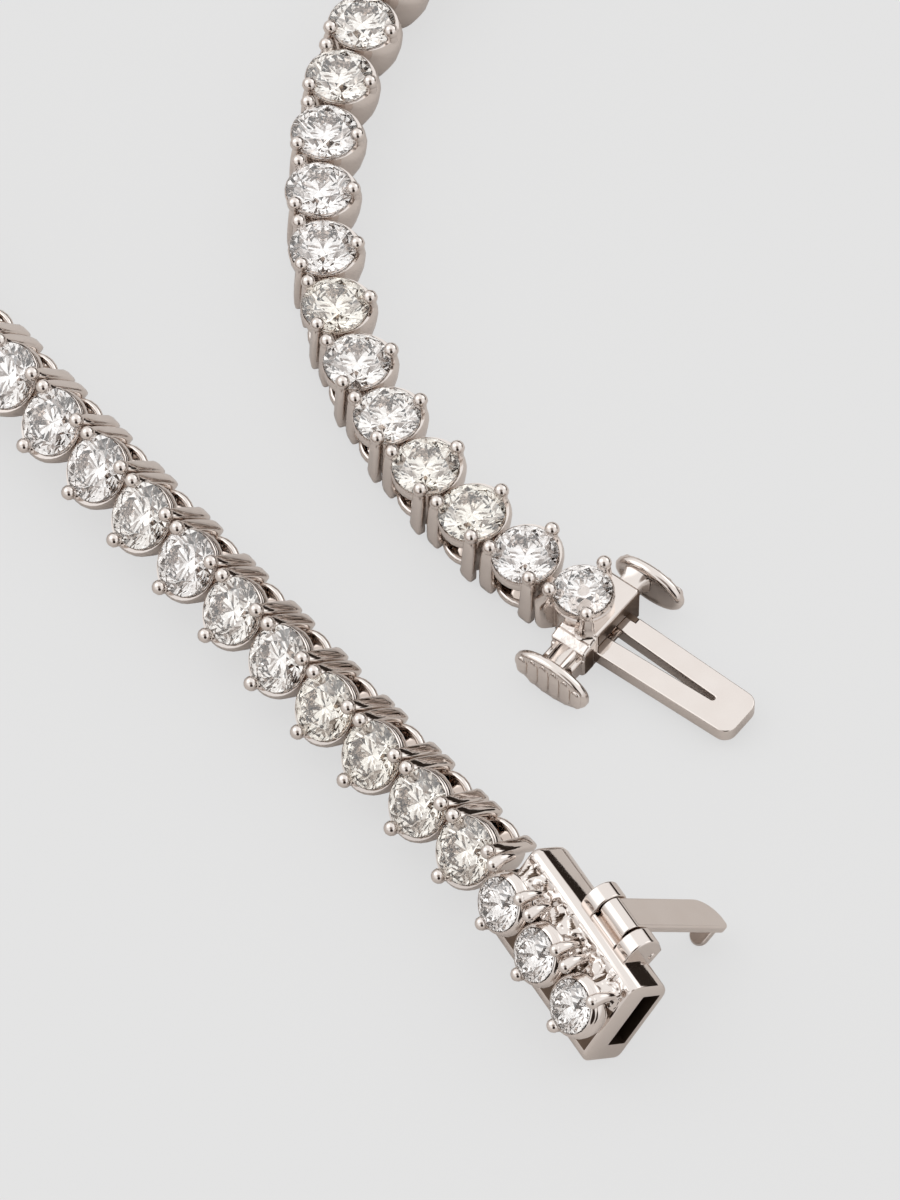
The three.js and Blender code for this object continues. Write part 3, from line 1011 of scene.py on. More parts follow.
@dataclass
class ChainLink:
    """One link, from its base up.

    It has a shield wall on the loop's outer side with one prong, an open gallery with a pair of posts
    on the inner side, and the riveted bar that reaches into the next link.
    """

    stone: RoundBrilliant = RoundBrilliant(3.1, 3.05)
    rivet_height: float = 1.5
    prong_circle: float = 1.6
    pair_angle: float = 49.0
    single_angle: float = 84.0
    ball: float = 0.36
    ball_height: float = 3.42
    post_width: float = 0.375
    post_depth: float = 0.23
    pitch: float = 3.3
    # The wall's height, its reach along the chain and its reach to the outer side.
    wall: tuple[Triple, ...] = (
        (0.0, 1.2, 1.27),
        (0.45, 1.34, 1.5),
        (1.0, 1.46, 1.75),
        (1.7, 1.54, 1.92),
        (2.35, 1.6, 1.99),
        (2.7, 1.62, 1.92),
        (2.92, 1.6, 1.76),
    )
    wall_thickness: float = 0.26
    wall_steps: int = 26
    # The rim under the stone and the cup inside it, as radius and height.
    rim: tuple[Point, ...] = (
        (1.35, 2.2), (1.5, 2.18), (1.55, 2.26), (1.56, 2.62), (1.53, 2.68), (1.6, 2.76),
        (1.63, 2.86), (1.58, 2.94), (1.42, 2.84),
    )
    rim_sides: int = 24
    cup: tuple[Point, ...] = (
        (0.6, 0.95), (0.98, 1.5), (1.38, 2.66), (1.3, 2.68), (0.88, 1.56), (0.52, 1.0),
    )
    cup_sides: int = 16
    base: Triple = (1.32, 1.2, 1.32)  # its reach along, to the outer and inner side
    base_sides: int = 24
    # The base's section, as the way in from its edge and the height: a rounded rail, then a thin floor.
    base_section: tuple[Point, ...] = (
        (0.0, 0.5), (0.0, 0.62), (0.05, 0.74), (0.14, 0.79), (0.25, 0.77), (0.34, 0.68),
        (0.78, 0.8), (0.78, 0.3), (0.6, 0.0), (0.4, 0.0), (0.04, 0.42),
    )
    # Each post's height, shift across the chain, size, and shift along the chain away from the stone.
    post: tuple[Quad, ...] = (
        (0.28, -0.09, 0.84, -0.02),
        (0.33, -0.12, 1.0, -0.03),
        (0.6, -0.14, 1.06, -0.03),
        (0.95, -0.15, 1.0, 0.01),
        (1.6, -0.13, 1.0, 0.03),
        (2.5, -0.08, 0.97, 0.03),
        (2.95, -0.05, 0.86, 0.02),
        (3.15, -0.02, 0.74, 0.0),
        (3.3, 0.0, 0.6, 0.0),
    )
    post_squareness: float = 0.45
    # The single prong's height, its way out from the prongs' circle, and its half width.
    single: tuple[Triple, ...] = (
        (2.3, 0.1, 0.2), (2.8, 0.04, 0.27), (3.1, 0.02, 0.27), (3.3, 0.0, 0.22),
    )
    bar_start: float = 1.0  # from this link's middle, and as far short of the next one's
    bar_shift: float = 0.1  # to the outer side
    bar_half: Point = (0.34, 0.42)
    bar_squareness: float = 0.8

    def metal(self) -> Form:
        """Shape everything but the stone.

        Returns:
            The shape, its origin on the rivets' line.
        """
        form = Form()
        self._wall(form)
        form.turn(self.rim, self.rim_sides)
        form.turn(self.cup, self.cup_sides)
        self._base(form)
        for side in (1, -1):
            self._post(form, side)
        self._single(form)
        self._bar(form)
        bmesh.ops.translate(form.mesh, verts=form.mesh.verts, vec=(0, 0, -self.rivet_height))
        return form

    def _reach(self, angle: float, along: float, outer: float) -> float:
        """How far the wall stands from the stone's axis.

        Args:
            angle: The direction, from +X, in radians.
            along: The wall's reach along the chain.
            outer: Its reach to the outer side.

        Returns:
            The distance.
        """
        c, s = math.cos(angle), math.sin(angle)
        side = outer if s > 0 else along
        return 1 / math.sqrt((c / along) ** 2 + (s / side) ** 2)

    def _wall(self, form: Form) -> None:
        """Add the shield wall, from one post round the outer side to the other.

        Args:
            form: The link's shape.
        """
        start = math.radians(self.pair_angle - 90)
        sweep = math.tau - math.radians(2 * self.pair_angle)
        sections = []
        for i in range(self.wall_steps + 1):
            angle = start + sweep * i / self.wall_steps
            direction = Vector((math.cos(angle), math.sin(angle), 0))
            outer = [
                direction * self._reach(angle, along, out) + Vector((0, 0, h))
                for h, along, out in self.wall
            ]
            inner = [
                direction * (self._reach(angle, along, out) - self.wall_thickness) + Vector((0, 0, h))
                for h, along, out in reversed(self.wall[::2])
            ]
            sections.append(outer + inner)
        form.loft(sections)

    def _post(self, form: Form, side: int) -> None:
        """Add a broad post of the inner pair, with its ball.

        Args:
            form: The link's shape.
            side: 1 for the post further along the chain, -1 for the other.
        """
        angle = math.radians(self.pair_angle)
        x, y = side * self.prong_circle * math.sin(angle), -self.prong_circle * math.cos(angle)
        across, deep = Vector((self.post_width, 0, 0)), Vector((0, self.post_depth, 0))
        sections = [
            oval(
                Vector((x + side * away, y + lean, h)),
                across * size,
                deep * size,
                12,
                self.post_squareness,
            )
            for h, lean, size, away in self.post
        ]
        form.loft(sections)
        form.ball(Vector((x, y, self.ball_height)), self.ball)

    def _base(self, form: Form) -> None:
        """Add the base that the link stands on, pierced under the stone.

        Args:
            form: The link's shape.
        """
        along, outer, inner = self.base
        sections = []
        for i in range(self.base_sides):
            angle = math.tau * i / self.base_sides
            c, s = math.cos(angle), math.sin(angle)
            across = outer if s > 0 else inner
            outward = Vector((c / along, s / across, 0)).normalized()
            edge = Vector((along * c, across * s, 0))
            sections.append(
                [edge - outward * depth + Vector((0, 0, h)) for depth, h in self.base_section]
            )
        form.loft(sections, closed=True)

    def _single(self, form: Form) -> None:
        """Add the single prong on top of the shield wall.

        Args:
            form: The link's shape.
        """
        angle = math.radians(self.single_angle)
        direction = Vector((math.cos(angle), math.sin(angle), 0))
        across = Vector((-direction.y, direction.x, 0))
        sections = [
            oval(
                direction * (self.prong_circle + out) + Vector((0, 0, h)),
                across * size,
                direction * size,
            )
            for h, out, size in self.single
        ]
        form.loft(sections)
        form.ball(direction * self.prong_circle + Vector((0, 0, self.ball_height)), self.ball)

    def _bar(self, form: Form) -> None:
        """Add the riveted bar that reaches into the next link.

        Args:
            form: The link's shape.
        """
        wide, high = self.bar_half
        sections = [
            oval(
                Vector((x, self.bar_shift, self.rivet_height)),
                Vector((0, wide, 0)),
                Vector((0, 0, high)),
                squareness=self.bar_squareness,
            )
            for x in (self.bar_start, self.pitch - self.bar_start)
        ]
        form.loft(sections)


@dataclass
class Run:
    """A run of links that is one solid in the CAD frame."""

    name: str
    links: int


@dataclass
class Chain:
    """The whole chain, set out along its route."""

    layout: Layout
    link: ChainLink = field(default_factory=ChainLink)
    count: int = 119
    end_run: int = 8
    back_runs: tuple[int, ...] = (15, 15, 15, 15, 15, 14, 14)
    lag: float = 1.65  # each link points along the chain as it was half a pitch before
    base_outer: float = 1.2575  # the base's outer edge, on which a rolled link lies
    start_in_box: Triple = (-11.1, 1.8, 1.5)
    twist: float = 50.0
    twist_length: float = 150.0
    lift_length: float = 11.0

    def runs(self) -> list[Run]:
        """The runs in order, from the box to the tongue."""
        back = [Run(f"chain_back_{i}", links) for i, links in enumerate(self.back_runs, 1)]
        return [Run("chain_box_side", self.end_run), *back, Run("chain_tongue_side", self.end_run)]

    def spots(self) -> list[Spot]:
        """Set out the links, rolled and lifted near the box and level further on.

        Returns:
            Their spots, in the part's frame.
        """
        pitch, to_part = self.link.pitch, self.layout.to_part()
        first = self.layout.box() @ Vector(self.start_in_box)
        last = self.layout.tongue() @ Vector((-pitch, 0, 0))
        route = Route(first.xy, last.xy, (self.count - 1) * pitch)
        first_lift = first.z - self._lying_height(math.radians(self.twist))
        spots = []
        for i in range(self.count):
            distance = i * pitch
            place, _ = route.along(distance)
            _, heading = route.along(max(0.0, distance - self.lag))
            roll = math.radians(self.twist) * max(0.0, 1 - distance / self.twist_length)
            lift = first_lift * max(0.0, 1 - distance / self.lift_length) ** 2
            at = to_part @ Vector((*place, self._lying_height(roll) + lift))
            spots.append(Spot(at, heading, -roll))
        return spots

    def _lying_height(self, roll: float) -> float:
        """How high the rivets' line is when a link lies rolled on the surface."""
        return self.link.rivet_height * math.cos(roll) + self.base_outer * math.sin(roll)

    def build(self, polish: bpy.types.Material, diamond: bpy.types.Material) -> None:
        """Make every run's metal and stones.

        Args:
            polish: The metal's finish.
            diamond: The stones' finish.
        """
        small = Matrix.Scale(MM, 4)
        metal = self.link.metal().cast("link_pattern", small, None, 50)
        stone_form = self.link.stone.form()
        bmesh.ops.translate(
            stone_form.mesh, verts=stone_form.mesh.verts, vec=(0, 0, -self.link.rivet_height)
        )
        stone = stone_form.cast("stone_pattern", small, None, 0)
        spots = self.spots()
        for number, run in enumerate(self.runs()):
            here, spots = spots[: run.links], spots[run.links :]
            links = SettingOut().copies(f"{run.name}_links", metal, polish, here)
            present(links, Body.NECKLACE, [run.name])
            turned = SettingOut(seed=number, spin=math.tau)
            stones = turned.copies(f"{run.name}_stones", stone, diamond, here)
            present(stones, Body.NECKLACE)
        bpy.data.objects.remove(metal)
        bpy.data.objects.remove(stone)


# ---- The clasp's box -----------------------------------------------------------------------------


@dataclass
class ClaspBox:
    """The box with its three settings, its hinge knuckles and the lug for the first link."""

    layout: Layout
    length: float = 8.5
    width: float = 4.85
    thickness: float = 2.5
    # The long edges' rounds: outer top, inner top, inner back and outer back.
    rounds: Quad = (0.5, 0.6, 0.3, 0.95)
    far_round: float = 0.35
    mouth_round: float = 0.1
    slot_depth: float = 7.9
    slot_low: Point = (1.0, 0.35)
    slot_high: Point = (4.15, 1.4)
    slot_round: float = 0.06
    stone: RoundBrilliant = RoundBrilliant(2.4, 3.72)
    stones: int = 3
    first_stone: float = -1.36
    stone_y: float = 2.3
    stone_pitch: float = 3.04
    ball: float = 0.33
    hinge_y: float = 5.1
    hinge_z: float = 0.45
    knuckles: tuple[Point, Point] = ((-5.1, -4.22), (-2.33, -1.45))
    knuckle_middle: Point = (5.2, 1.1)
    knuckle_radius: float = 0.92
    knuckle_span: Point = (0.05, 1.98)  # from its foot to its top
    ledge_foot: float = 1.27
    ledge_corner: Point = (5.05, 2.02)  # its outer top edge
    ledge_rounds: Quad = (0.1, 0.05, 0.05, 0.05)
    lug_ends: Point = (0.75, 0.3)  # how far it stands out of the box's far end, and reaches into it
    lug_sides: Point = (1.5, 2.4)
    lug_span: Point = (1.0, 2.0)
    pin: float = 0.19
    pin_proud: float = 0.08  # how far each peened end stands out of its knuckle
    pin_dome: tuple[float, ...] = (0.0, 0.45, 0.9, 1.25)  # where the dome's rings are, in radians
    # The dark floor among the settings, a sheet of painted shade: how far short of the box's ends it
    # stops, its
    #     # sides, and how far it reaches below and above the box's top.
    floor_ends: Point = (0.25, 0.16)
    floor_sides: Point = (0.62, 3.2)
    floor_rise: Point = (0.1, 0.04)
    apron_steps: int = 240
    apron_rows: int = 32
    apron_ends: Point = (0.2, 0.12)  # how far it stops short of the box's ends
    apron_foot: float = 0.3  # its foot's distance from the hinge side
    apron_sink: float = 0.15  # how far it reaches into the box
    apron_lip: float = 0.12  # how far its crest leans back over its root
    apron_fade: Point = (0.4, 0.3)  # how far from each end it comes up to its full height
    apron_bow: float = 0.65  # how much of its fall is bowed, the rest being straight
    scallop: float = 1.46  # the radius of its scallops round the stones
    scallop_half: float = 1.15  # how far along the box each scallop follows its stone
    crest: float = 3.3
    crest_fall: float = 0.24  # how fast its crest drops away from a stone
    ripple: float = 0.34
    ripple_mix: Point = (0.5, 0.6)  # how much of it is broad and how much is fine
    pit_from: float = 0.15  # the noise above which the apron is pitted
    pit_rise: float = 0.08  # and how much more makes a full pit
    pit_depth: float = 0.3
    # The settings' cup, as radius and height.
    cup: tuple[Point, ...] = (
        (0.72, 2.3), (1.16, 2.35), (1.36, 2.7), (1.48, 3.05), (1.48, 3.28), (1.38, 3.4),
        (1.42, 3.47), (1.37, 3.58), (1.25, 3.65), (1.12, 3.5), (0.75, 2.9),
    )
    cup_sides: int = 28
    # Each claw's head, and its root's place from there and half width.
    claws: tuple[tuple[Triple, Triple, float], ...] = (
        ((0.93, 1.36, 3.93), (0.1, 0.36, -1.0), 0.17),
        ((-1.25, 1.26, 3.93), (-0.05, 0.4, -1.0), 0.17),
        ((0.0, -1.22, 3.85), (0.0, -0.04, -1.2), 0.24),
    )

    def frame(self) -> Matrix:
        """From the box's millimetres to the part's metres."""
        return self.layout.to_part() @ self.layout.box()

    def build(
        self,
        polish: bpy.types.Material,
        cast: bpy.types.Material,
        shade_paint: bpy.types.Material,
        diamond: bpy.types.Material,
    ) -> None:
        """Make the box and what is on it.

        Args:
            polish: The finish of its faces.
            cast: The finish of its apron.
            shade_paint: The dark finish that paints shade inside it, among its settings and in its
                apron's pits.
            diamond: The stones' finish.
        """
        frame = self.frame()
        shell = self._shell().cast("box_shell", frame, polish, 40)
        # Its second finish paints shade on the slot's walls.
        shell.data.materials.append(shade_paint)
        present(shell, Body.NECKLACE, ["clasp_box"])
        hinge = self._hinge_side().cast("box_hinge_lugs", frame, polish, 40, even=True)
        present(hinge, Body.NECKLACE)
        pin = self._pin().cast("peened_pin", frame, polish, 50)
        present(pin, Body.NECKLACE, ["hinge_pin"])
        gallery = self._gallery().cast("box_gallery", frame, cast, 80)
        gallery.data.materials.append(shade_paint)
        present(gallery, Body.NECKLACE)
        # A dark sheet among the settings: painted shade.
        floor = self._shade_sheet().cast("box_recess", frame, shade_paint, 40)
        present(floor, Body.NECKLACE)
        self._settings(frame, polish)
        for i, spot in enumerate(self._stone_spots(), 1):
            place = frame @ Matrix.Translation(spot)
            stone = self.stone.form().cast(f"box_brilliant_{i}", place, diamond, 0)
            present(stone, Body.NECKLACE, [f"box_stone_{i}"])

    def _stone_spots(self) -> list[Vector]:
        """Where the stones stand, from the mouth to the far end."""
        along = [self.first_stone - i * self.stone_pitch for i in range(self.stones)]
        return [Vector((x, self.stone_y, 0)) for x in along]

    def _shade_sheet(self) -> Form:
        """The dark floor among the settings: a sheet of painted shade.

        Returns:
            Its shape.
        """
        form = Form()
        far, near = self.floor_ends
        below, above = self.floor_rise
        low = (far - self.length, self.floor_sides[0], self.thickness - below)
        high = (-near, self.floor_sides[1], self.thickness + above)
        form.block(low, high, 0.03)
        return form

    def _section(self, x: float, inset: float) -> Section:
        """The box's section at a place along it, drawn in by an inset."""
        outline = rounded((0, 0), (self.width, self.thickness), self.rounds, inset)
        return [Vector((x, y, z)) for y, z in outline]

    def _shell(self) -> Form:
        """The box itself, open at its mouth, with the pocket that takes the tongue.

        Returns:
            Its shape, with the pocket's faces in the second finish, which paints shade inside the slot.
        """
        form = Form()
        far, mouth = self.far_round, self.mouth_round
        sections = [
            self._section(-self.length + far * (1 - math.sin(a)), far * (1 - math.cos(a)))
            for a in (math.radians(d) for d in (90, 60, 30, 0))
        ]
        sections += [
            self._section(-mouth * (1 - math.sin(a)), mouth * (1 - math.cos(a)))
            for a in (math.radians(d) for d in (0, 45, 90))
        ]
        for x in (0.0, -self.slot_depth):
            outline = rounded(self.slot_low, self.slot_high, (self.slot_round,) * 4)
            sections.append([Vector((x, y, z)) for y, z in outline])
        form.loft(sections)
        # The slot's walls take the second finish: painted shade inside the slot.
        for face in form.mesh.faces:
            middle = face.calc_center_median()
            face.material_index = int(middle.x < -NO_LENGTH and self._in_slot(middle))
        return form

    def _in_slot(self, point: Vector) -> bool:
        """Whether a point is on the slot's walls or inside them.

        Args:
            point: The point, in the box's frame.

        Returns:
            True if it is.
        """
        spare = 0.02
        return (
            self.slot_low[0] - spare < point.y < self.slot_high[0] + spare
            and self.slot_low[1] - spare < point.z < self.slot_high[1] + spare
            and point.x > -self.slot_depth - spare
        )

    def _hinge_side(self) -> Form:
        """Two knuckles, the ledge between them, and the lug at the far end.

        Returns:
            Their shape.
        """
        form = Form()
        inside = self.width - 0.2
        low, high = self.knuckle_span
        outline = [
            (self.width + 0.6, low),
            *arc(self.knuckle_middle, self.knuckle_radius, -38, 90, 12),
            (inside, high),
            (inside - 0.2, low + 0.15),
        ]
        for start, end in self.knuckles:
            form.plate([outline], start, end, 0.09, YZ_PLANE)
        between = self.knuckles[0][1] + 0.03, self.knuckles[1][0] - 0.03
        ledge = rounded((inside, self.ledge_foot), self.ledge_corner, self.ledge_rounds)
        form.plate([ledge], *between, 0.03, YZ_PLANE)
        out, within = self.lug_ends
        (right, left), (foot, top) = self.lug_sides, self.lug_span
        form.block((-self.length - out, right, foot), (-self.length + within, left, top), 0.15)
        return form

    def _pin(self) -> Form:
        """The hinge's pin, each end peened to a low dome outside its knuckle.

        Returns:
            Its shape.
        """
        form = Form()
        start, end = self.knuckles[0][0], self.knuckles[1][1]
        dome = [(self.pin * math.cos(a), self.pin_proud * math.sin(a)) for a in self.pin_dome]
        profile = [(0.0, start - self.pin_proud), *((r, start - h) for r, h in reversed(dome))]
        profile += [*((r, end + h) for r, h in dome), (0.0, end + self.pin_proud)]
        line = Matrix.Translation((0, self.hinge_y, self.hinge_z))
        form.turn(profile, 16, line @ Matrix.Rotation(math.pi / 2, 4, "Y"))
        return form

    def _gallery(self) -> Form:
        """The cast apron between the stones and the box's edge, scalloped round each stone and wavy.

        Returns:
            Its shape, with its pits in the second finish, which paints shade in them.
        """
        form = Form()
        start, end = self.apron_ends[0] - self.length, -self.apron_ends[1]
        foot, buried = self.width - self.apron_foot, self.thickness - self.apron_sink
        half_pitch = self.stone_pitch / 2
        sections = []
        for i in range(self.apron_steps + 1):
            x = start + (end - start) * i / self.apron_steps
            off = abs((x - self.first_stone + half_pitch) % self.stone_pitch - half_pitch)
            crest_y = self.stone_y + math.sqrt(self.scallop**2 - min(off, self.scallop_half) ** 2)
            crest_z = self.crest - self.crest_fall * off
            rise = (x - start) / self.apron_fade[0], (end - x) / self.apron_fade[1]
            fade = math.sqrt(min(1.0, rise[0] + 0.02, rise[1] + 0.02))
            section = [Vector((x, crest_y - self.apron_lip, buried))]
            for j in range(self.apron_rows + 1):
                t = j / self.apron_rows
                y = crest_y + (foot - crest_y) * t
                fall = (1 - self.apron_bow) * t + self.apron_bow * math.sqrt(t)
                z = crest_z + (self.thickness + 0.02 - crest_z) * fall
                # The ripple and the pits die out towards the crest and the foot.
                inside = math.sqrt(math.sin(math.pi * min(0.04 + 0.93 * t, 1.0)))
                z += self.ripple * inside * self._ripple(x, y)
                z -= self.pit_depth * min(1.0, 6 * t, 5 * (1 - t)) * self._pit(x, y)
                section.append(Vector((x, y, self.thickness + (z - self.thickness) * fade)))
            section.append(Vector((x, foot, buried)))
            sections.append(section)
        form.loft(sections)
        for _ in range(3):  # takes the grid's own steps off the walls of the pits
            bmesh.ops.smooth_vert(form.mesh, verts=form.mesh.verts, factor=0.5, use_axis_z=True)
        # Faces in the deeper pits take the second finish: painted shade in the pits.
        for face in form.mesh.faces:
            middle = face.calc_center_median()
            on_top = start + 0.3 < middle.x < end - 0.2 and middle.y < foot - 0.05
            face.material_index = int(on_top and self._pit(middle.x, middle.y) > 0.5)
        return form

    def _ripple(self, x: float, y: float) -> float:
        """The casting's ripple at a place on the apron.

        Args:
            x: How far along the box it is.
            y: How far across the box it is.

        Returns:
            The ripple, about 0.
        """
        broad = noise.noise(Vector((x * 1.1, y * 2.6, 0.5)))
        fine = noise.noise(Vector((x * 2.9, y * 5, 4)))
        return self.ripple_mix[0] * broad + self.ripple_mix[1] * fine

    def _pit(self, x: float, y: float) -> float:
        """How much of a pit the apron has at a place.

        Args:
            x: How far along the box it is.
            y: How far across the box it is.

        Returns:
            The share of a full pit, from 0 to 1.
        """
        broad = noise.noise(Vector((x * 2.2, y * 1.2, 9)))
        fine = noise.noise(Vector((x * 5.1, y * 2.7, 2)))
        return min(max((broad + 0.5 * fine - self.pit_from) / self.pit_rise, 0.0), 1.0)

    def _settings(self, frame: Matrix, polish: bpy.types.Material) -> None:
        """Make the three cups with their prongs, one pattern set out along the box.

        Args:
            frame: From the box's millimetres to the part's metres.
            polish: The metal's finish.
        """
        form = Form()
        form.turn(self.cup, self.cup_sides)
        for head, root, root_size in self.claws:
            self._claw(form, Vector(head), Vector(root), root_size)
        # The pattern keeps the box's tilt in its mesh, so that its copies only need their places.
        turn = frame.to_3x3().normalized().to_4x4()
        pattern = form.cast("setting_pattern", turn @ Matrix.Scale(MM, 4), None, 50)
        spots = [Spot(frame @ spot) for spot in self._stone_spots()]
        settings = SettingOut().copies("box_settings", pattern, polish, spots)
        present(settings, Body.NECKLACE)
        bpy.data.objects.remove(pattern)

    def _claw(self, form: Form, head: Vector, root: Vector, root_size: float) -> None:
        """A prong with a ball head that runs back and down to its root.

        Args:
            form: The form that it joins.
            head: The ball's middle.
            root: The root's middle, from the head.
            root_size: The root's half width.
        """
        steps, neck = 6, self.ball * 0.95
        sections = []
        for i in range(steps + 1):
            t = i / steps
            quarter = t * math.pi / 2
            centre = head + Vector((root.x * t, root.y * math.sin(quarter), root.z * t**1.5))
            size = neck + (root_size - neck) * t**1.6
            outward = Vector((root.x, root.y or -1.0, 0)).normalized()
            tangent = Vector((root.x, root.y * math.cos(quarter), root.z * max(t, 0.15))).normalized()
            across = tangent.cross(outward.cross(tangent)).normalized().cross(tangent)
            if across.length < 0.5:  # the claw runs straight out, so any direction across it will do
                across = Vector((1, 0, 0))
            sections.append(oval(centre, across * size, tangent.cross(across).normalized() * size))
        form.loft(sections)
        form.ball(head, self.ball)


@dataclass
class SafetyLatch:
    """The fold-over latch, drawn closed from the hinge's line and opened as the necklace lies."""

    box: ClaspBox
    low: float = -4.14
    high: float = -2.41
    barrel: float = 0.35
    plate_near: float = 0.48
    plate_far: float = 0.9
    curl: float = 0.55  # the radius of the roll along the plate's hinge edge
    curl_at: float = 0.95
    reach: float = 5.5
    plan_rounds: Quad = (0.08, 0.08, 1.25, 0.3)
    # The web between the barrel and the plate: its way in from the hinge's line and out, and its top.
    web: Triple = (-0.28, 0.6, -0.02)
    open_angle: float = 83.2
    hook_width: float = 1.0
    hook_near: float = 5.2
    hook_far: float = 5.55
    hook_height: float = 1.02

    def build(self, polish: bpy.types.Material) -> None:
        """Make the latch.

        Args:
            polish: Its finish.
        """
        form = Form()
        middle = (self.high + self.low) / 2
        low, high = (self.low, -self.reach), (self.high, self.curl_at)
        plan = rounded(low, high, self.plan_rounds, steps=10)
        form.plate([plan], -self.plate_far, -self.plate_near, 0.1)
        barrel = arc((0, 0), self.barrel, 0, 360, 32)[:-1]
        form.plate([barrel], self.low, self.high, 0.04, YZ_PLANE)
        roll = arc((self.curl_at, self.curl - self.plate_far), self.curl, 0, 360, 40)[:-1]
        form.plate([roll], self.low, self.high, 0.05, YZ_PLANE)
        inward, outward, top = self.web
        form.block((self.low, inward, -self.plate_near - 0.1), (self.high, outward, top), 0.03)
        half, foot = self.hook_width / 2, 0.2 - self.plate_far
        hook = [
            (foot, middle - half),
            *arc((self.hook_height - half, middle), half, -90, 90, 12),
            (foot, middle + half),
        ]
        form.plate([hook], -self.hook_far, -self.hook_near, 0.12, XZ_PLANE)
        place = (
            self.box.frame()
            @ Matrix.Translation((0, self.box.hinge_y, self.box.hinge_z))
            @ Matrix.Rotation(math.radians(self.open_angle), 4, "X")
        )
        latch = form.cast("latch", place, polish, 40, even=True)
        present(latch, Body.LATCH, ["safety_latch"])


# ---- The tongue end ------------------------------------------------------------------------------


@dataclass
class TongueEnd:
    """The tongue, the block that it stands in with the last stone, and the two push buttons."""

    layout: Layout
    root: float = 1.05
    tip: float = 9.15
    root_half: float = 1.36
    tip_half: float = 1.22
    tip_round: float = 0.62
    low: float = 0.45
    thickness: float = 0.8
    slit: Quad = (1.4, 7.5, 0.34, 0.12)  # start, end, half width at each
    notch: Triple = (1.62, 0.6, 0.3)  # start, length and depth
    block_back: float = -0.2
    block_front: float = 1.65
    block_half: float = 2.15
    block_top: float = 2.2
    pocket_half: float = 0.42
    pocket_span: Point = (0.35, 1.55)  # the pocket's floor and roof
    lug: tuple[Triple, Triple] = ((-1.75, -0.4, 1.0), (-0.5, 0.4, 2.0))
    step_y: float = -1.15  # where the bar's cast end starts
    saddle_reach: float = 2.86
    stone: RoundBrilliant = RoundBrilliant(2.65, 3.2)
    # The setting's cup with its grooved rim, as radius and height.
    cup: tuple[Point, ...] = (
        (0.9, 0.2), (1.24, 0.2), (1.32, 1.2), (1.36, 2.2), (1.4, 2.6), (1.46, 2.72), (1.4, 2.8),
        (1.43, 2.9), (1.45, 3.02), (1.4, 3.1), (1.28, 3.04), (1.05, 2.5), (0.75, 1.9),
    )
    cup_sides: int = 40
    prong_circle: float = 1.545
    pair_angle: float = 44.0
    # A prong's depth for its width, shift outwards, foot's height and foot's half width. The one beside
    # the chain is a broad block that stops short of the surface, and the others flare on to the bar.
    broad_prong: Quad = (1.4, 0.14, 0.85, 0.34)
    flared_prong: Quad = (0.8, 0.0, 1.9, 0.56)
    ball: float = 0.35
    ball_height: float = 3.5

    def frame(self) -> Matrix:
        """From the tongue end's millimetres to the part's metres."""
        return self.layout.to_part() @ self.layout.tongue()

    def build(
        self,
        polish: bpy.types.Material,
        cast: bpy.types.Material,
        shade_paint: bpy.types.Material,
        diamond: bpy.types.Material,
    ) -> None:
        """Make the tongue end.

        Args:
            polish: The finish of the tongue and the bar.
            cast: The finish of the saddle and the setting.
            shade_paint: The dark finish that paints shade inside the pocket and the notch and on the
                bar's front.
            diamond: The stone's finish.
        """
        frame = self.frame()
        tongue = self._tongue().cast("tongue_spring", frame, polish, 40, even=True)
        present(tongue, Body.NECKLACE, ["tongue"])
        bar = self._bar().cast("tongue_bar", frame, polish, 40, even=True)
        present(bar, Body.NECKLACE, ["tongue_block"])
        saddle = self._saddle().cast("tongue_saddle", frame, cast, 40, even=True)
        present(saddle, Body.NECKLACE)
        # Dark blocks in the pocket and the notch and on the bar's front: painted shade.
        pocket = self._shade_plates().cast("tongue_pocket", frame, shade_paint, 40)
        present(pocket, Body.NECKLACE)
        cup = self._cup().cast("tongue_setting", frame, cast, 50)
        present(cup, Body.NECKLACE)
        stone = self.stone.form().cast("tongue_brilliant", frame, diamond, 0)
        present(stone, Body.NECKLACE, ["tongue_stone"])

    def _tongue(self) -> Form:
        """The spring tongue, slit down its middle and notched for the catch.

        Returns:
            Its shape.
        """
        start, end, start_half, end_half = self.slit
        at, wide, deep = self.notch
        catch = [(at, self.root_half), (at, self.root_half - deep)]
        catch += [(at + wide, self.root_half - deep), (at + wide, self.root_half)]
        middle = (self.tip - self.tip_round, self.tip_half - self.tip_round)
        corner = arc(middle, self.tip_round, 90, 0, 7)
        far = [(self.root, self.root_half), *catch, *corner]
        near = [(self.root, self.root_half), *corner]
        outline = far + [(x, -y) for x, y in reversed(near)]
        hole_end = arc((end - end_half, 0), end_half, 90, -90, 8)
        hole = [(start, start_half), *hole_end, (start, -start_half)]
        form = Form()
        form.plate([outline, hole], self.low, self.low + self.thickness, 0.07)
        return form

    def _bar(self) -> Form:
        """The cross bar, with the pocket that holds the tongue, and the lug for the last link.

        Returns:
            Its shape.
        """
        form = Form()
        outline = rounded((self.step_y, 0), (self.block_half, self.block_top), (0.25, 0.1, 0.1, 0.2))
        half, (floor, roof) = self.pocket_half, self.pocket_span
        pocket = [(-half, floor), (half, floor), (half, roof), (-half, roof)]
        form.plate([outline, pocket], self.block_back, self.block_front, 0.14, YZ_PLANE)
        form.block(*self.lug, 0.15)
        return form

    def _shade_plates(self) -> Form:
        """Painted shade: the dark inside of the pocket and the notch, and dark plates on the bar's
        front.

        Returns:
            Their shape.
        """
        form = Form()
        form.block((-0.1, -0.6, 0.25), (1.1, 0.6, 1.7), 0.02)
        at, wide, deep = self.notch
        form.block((at, self.root_half - deep, 0.4), (at + wide - 0.03, self.root_half, 1.2), 0.03)
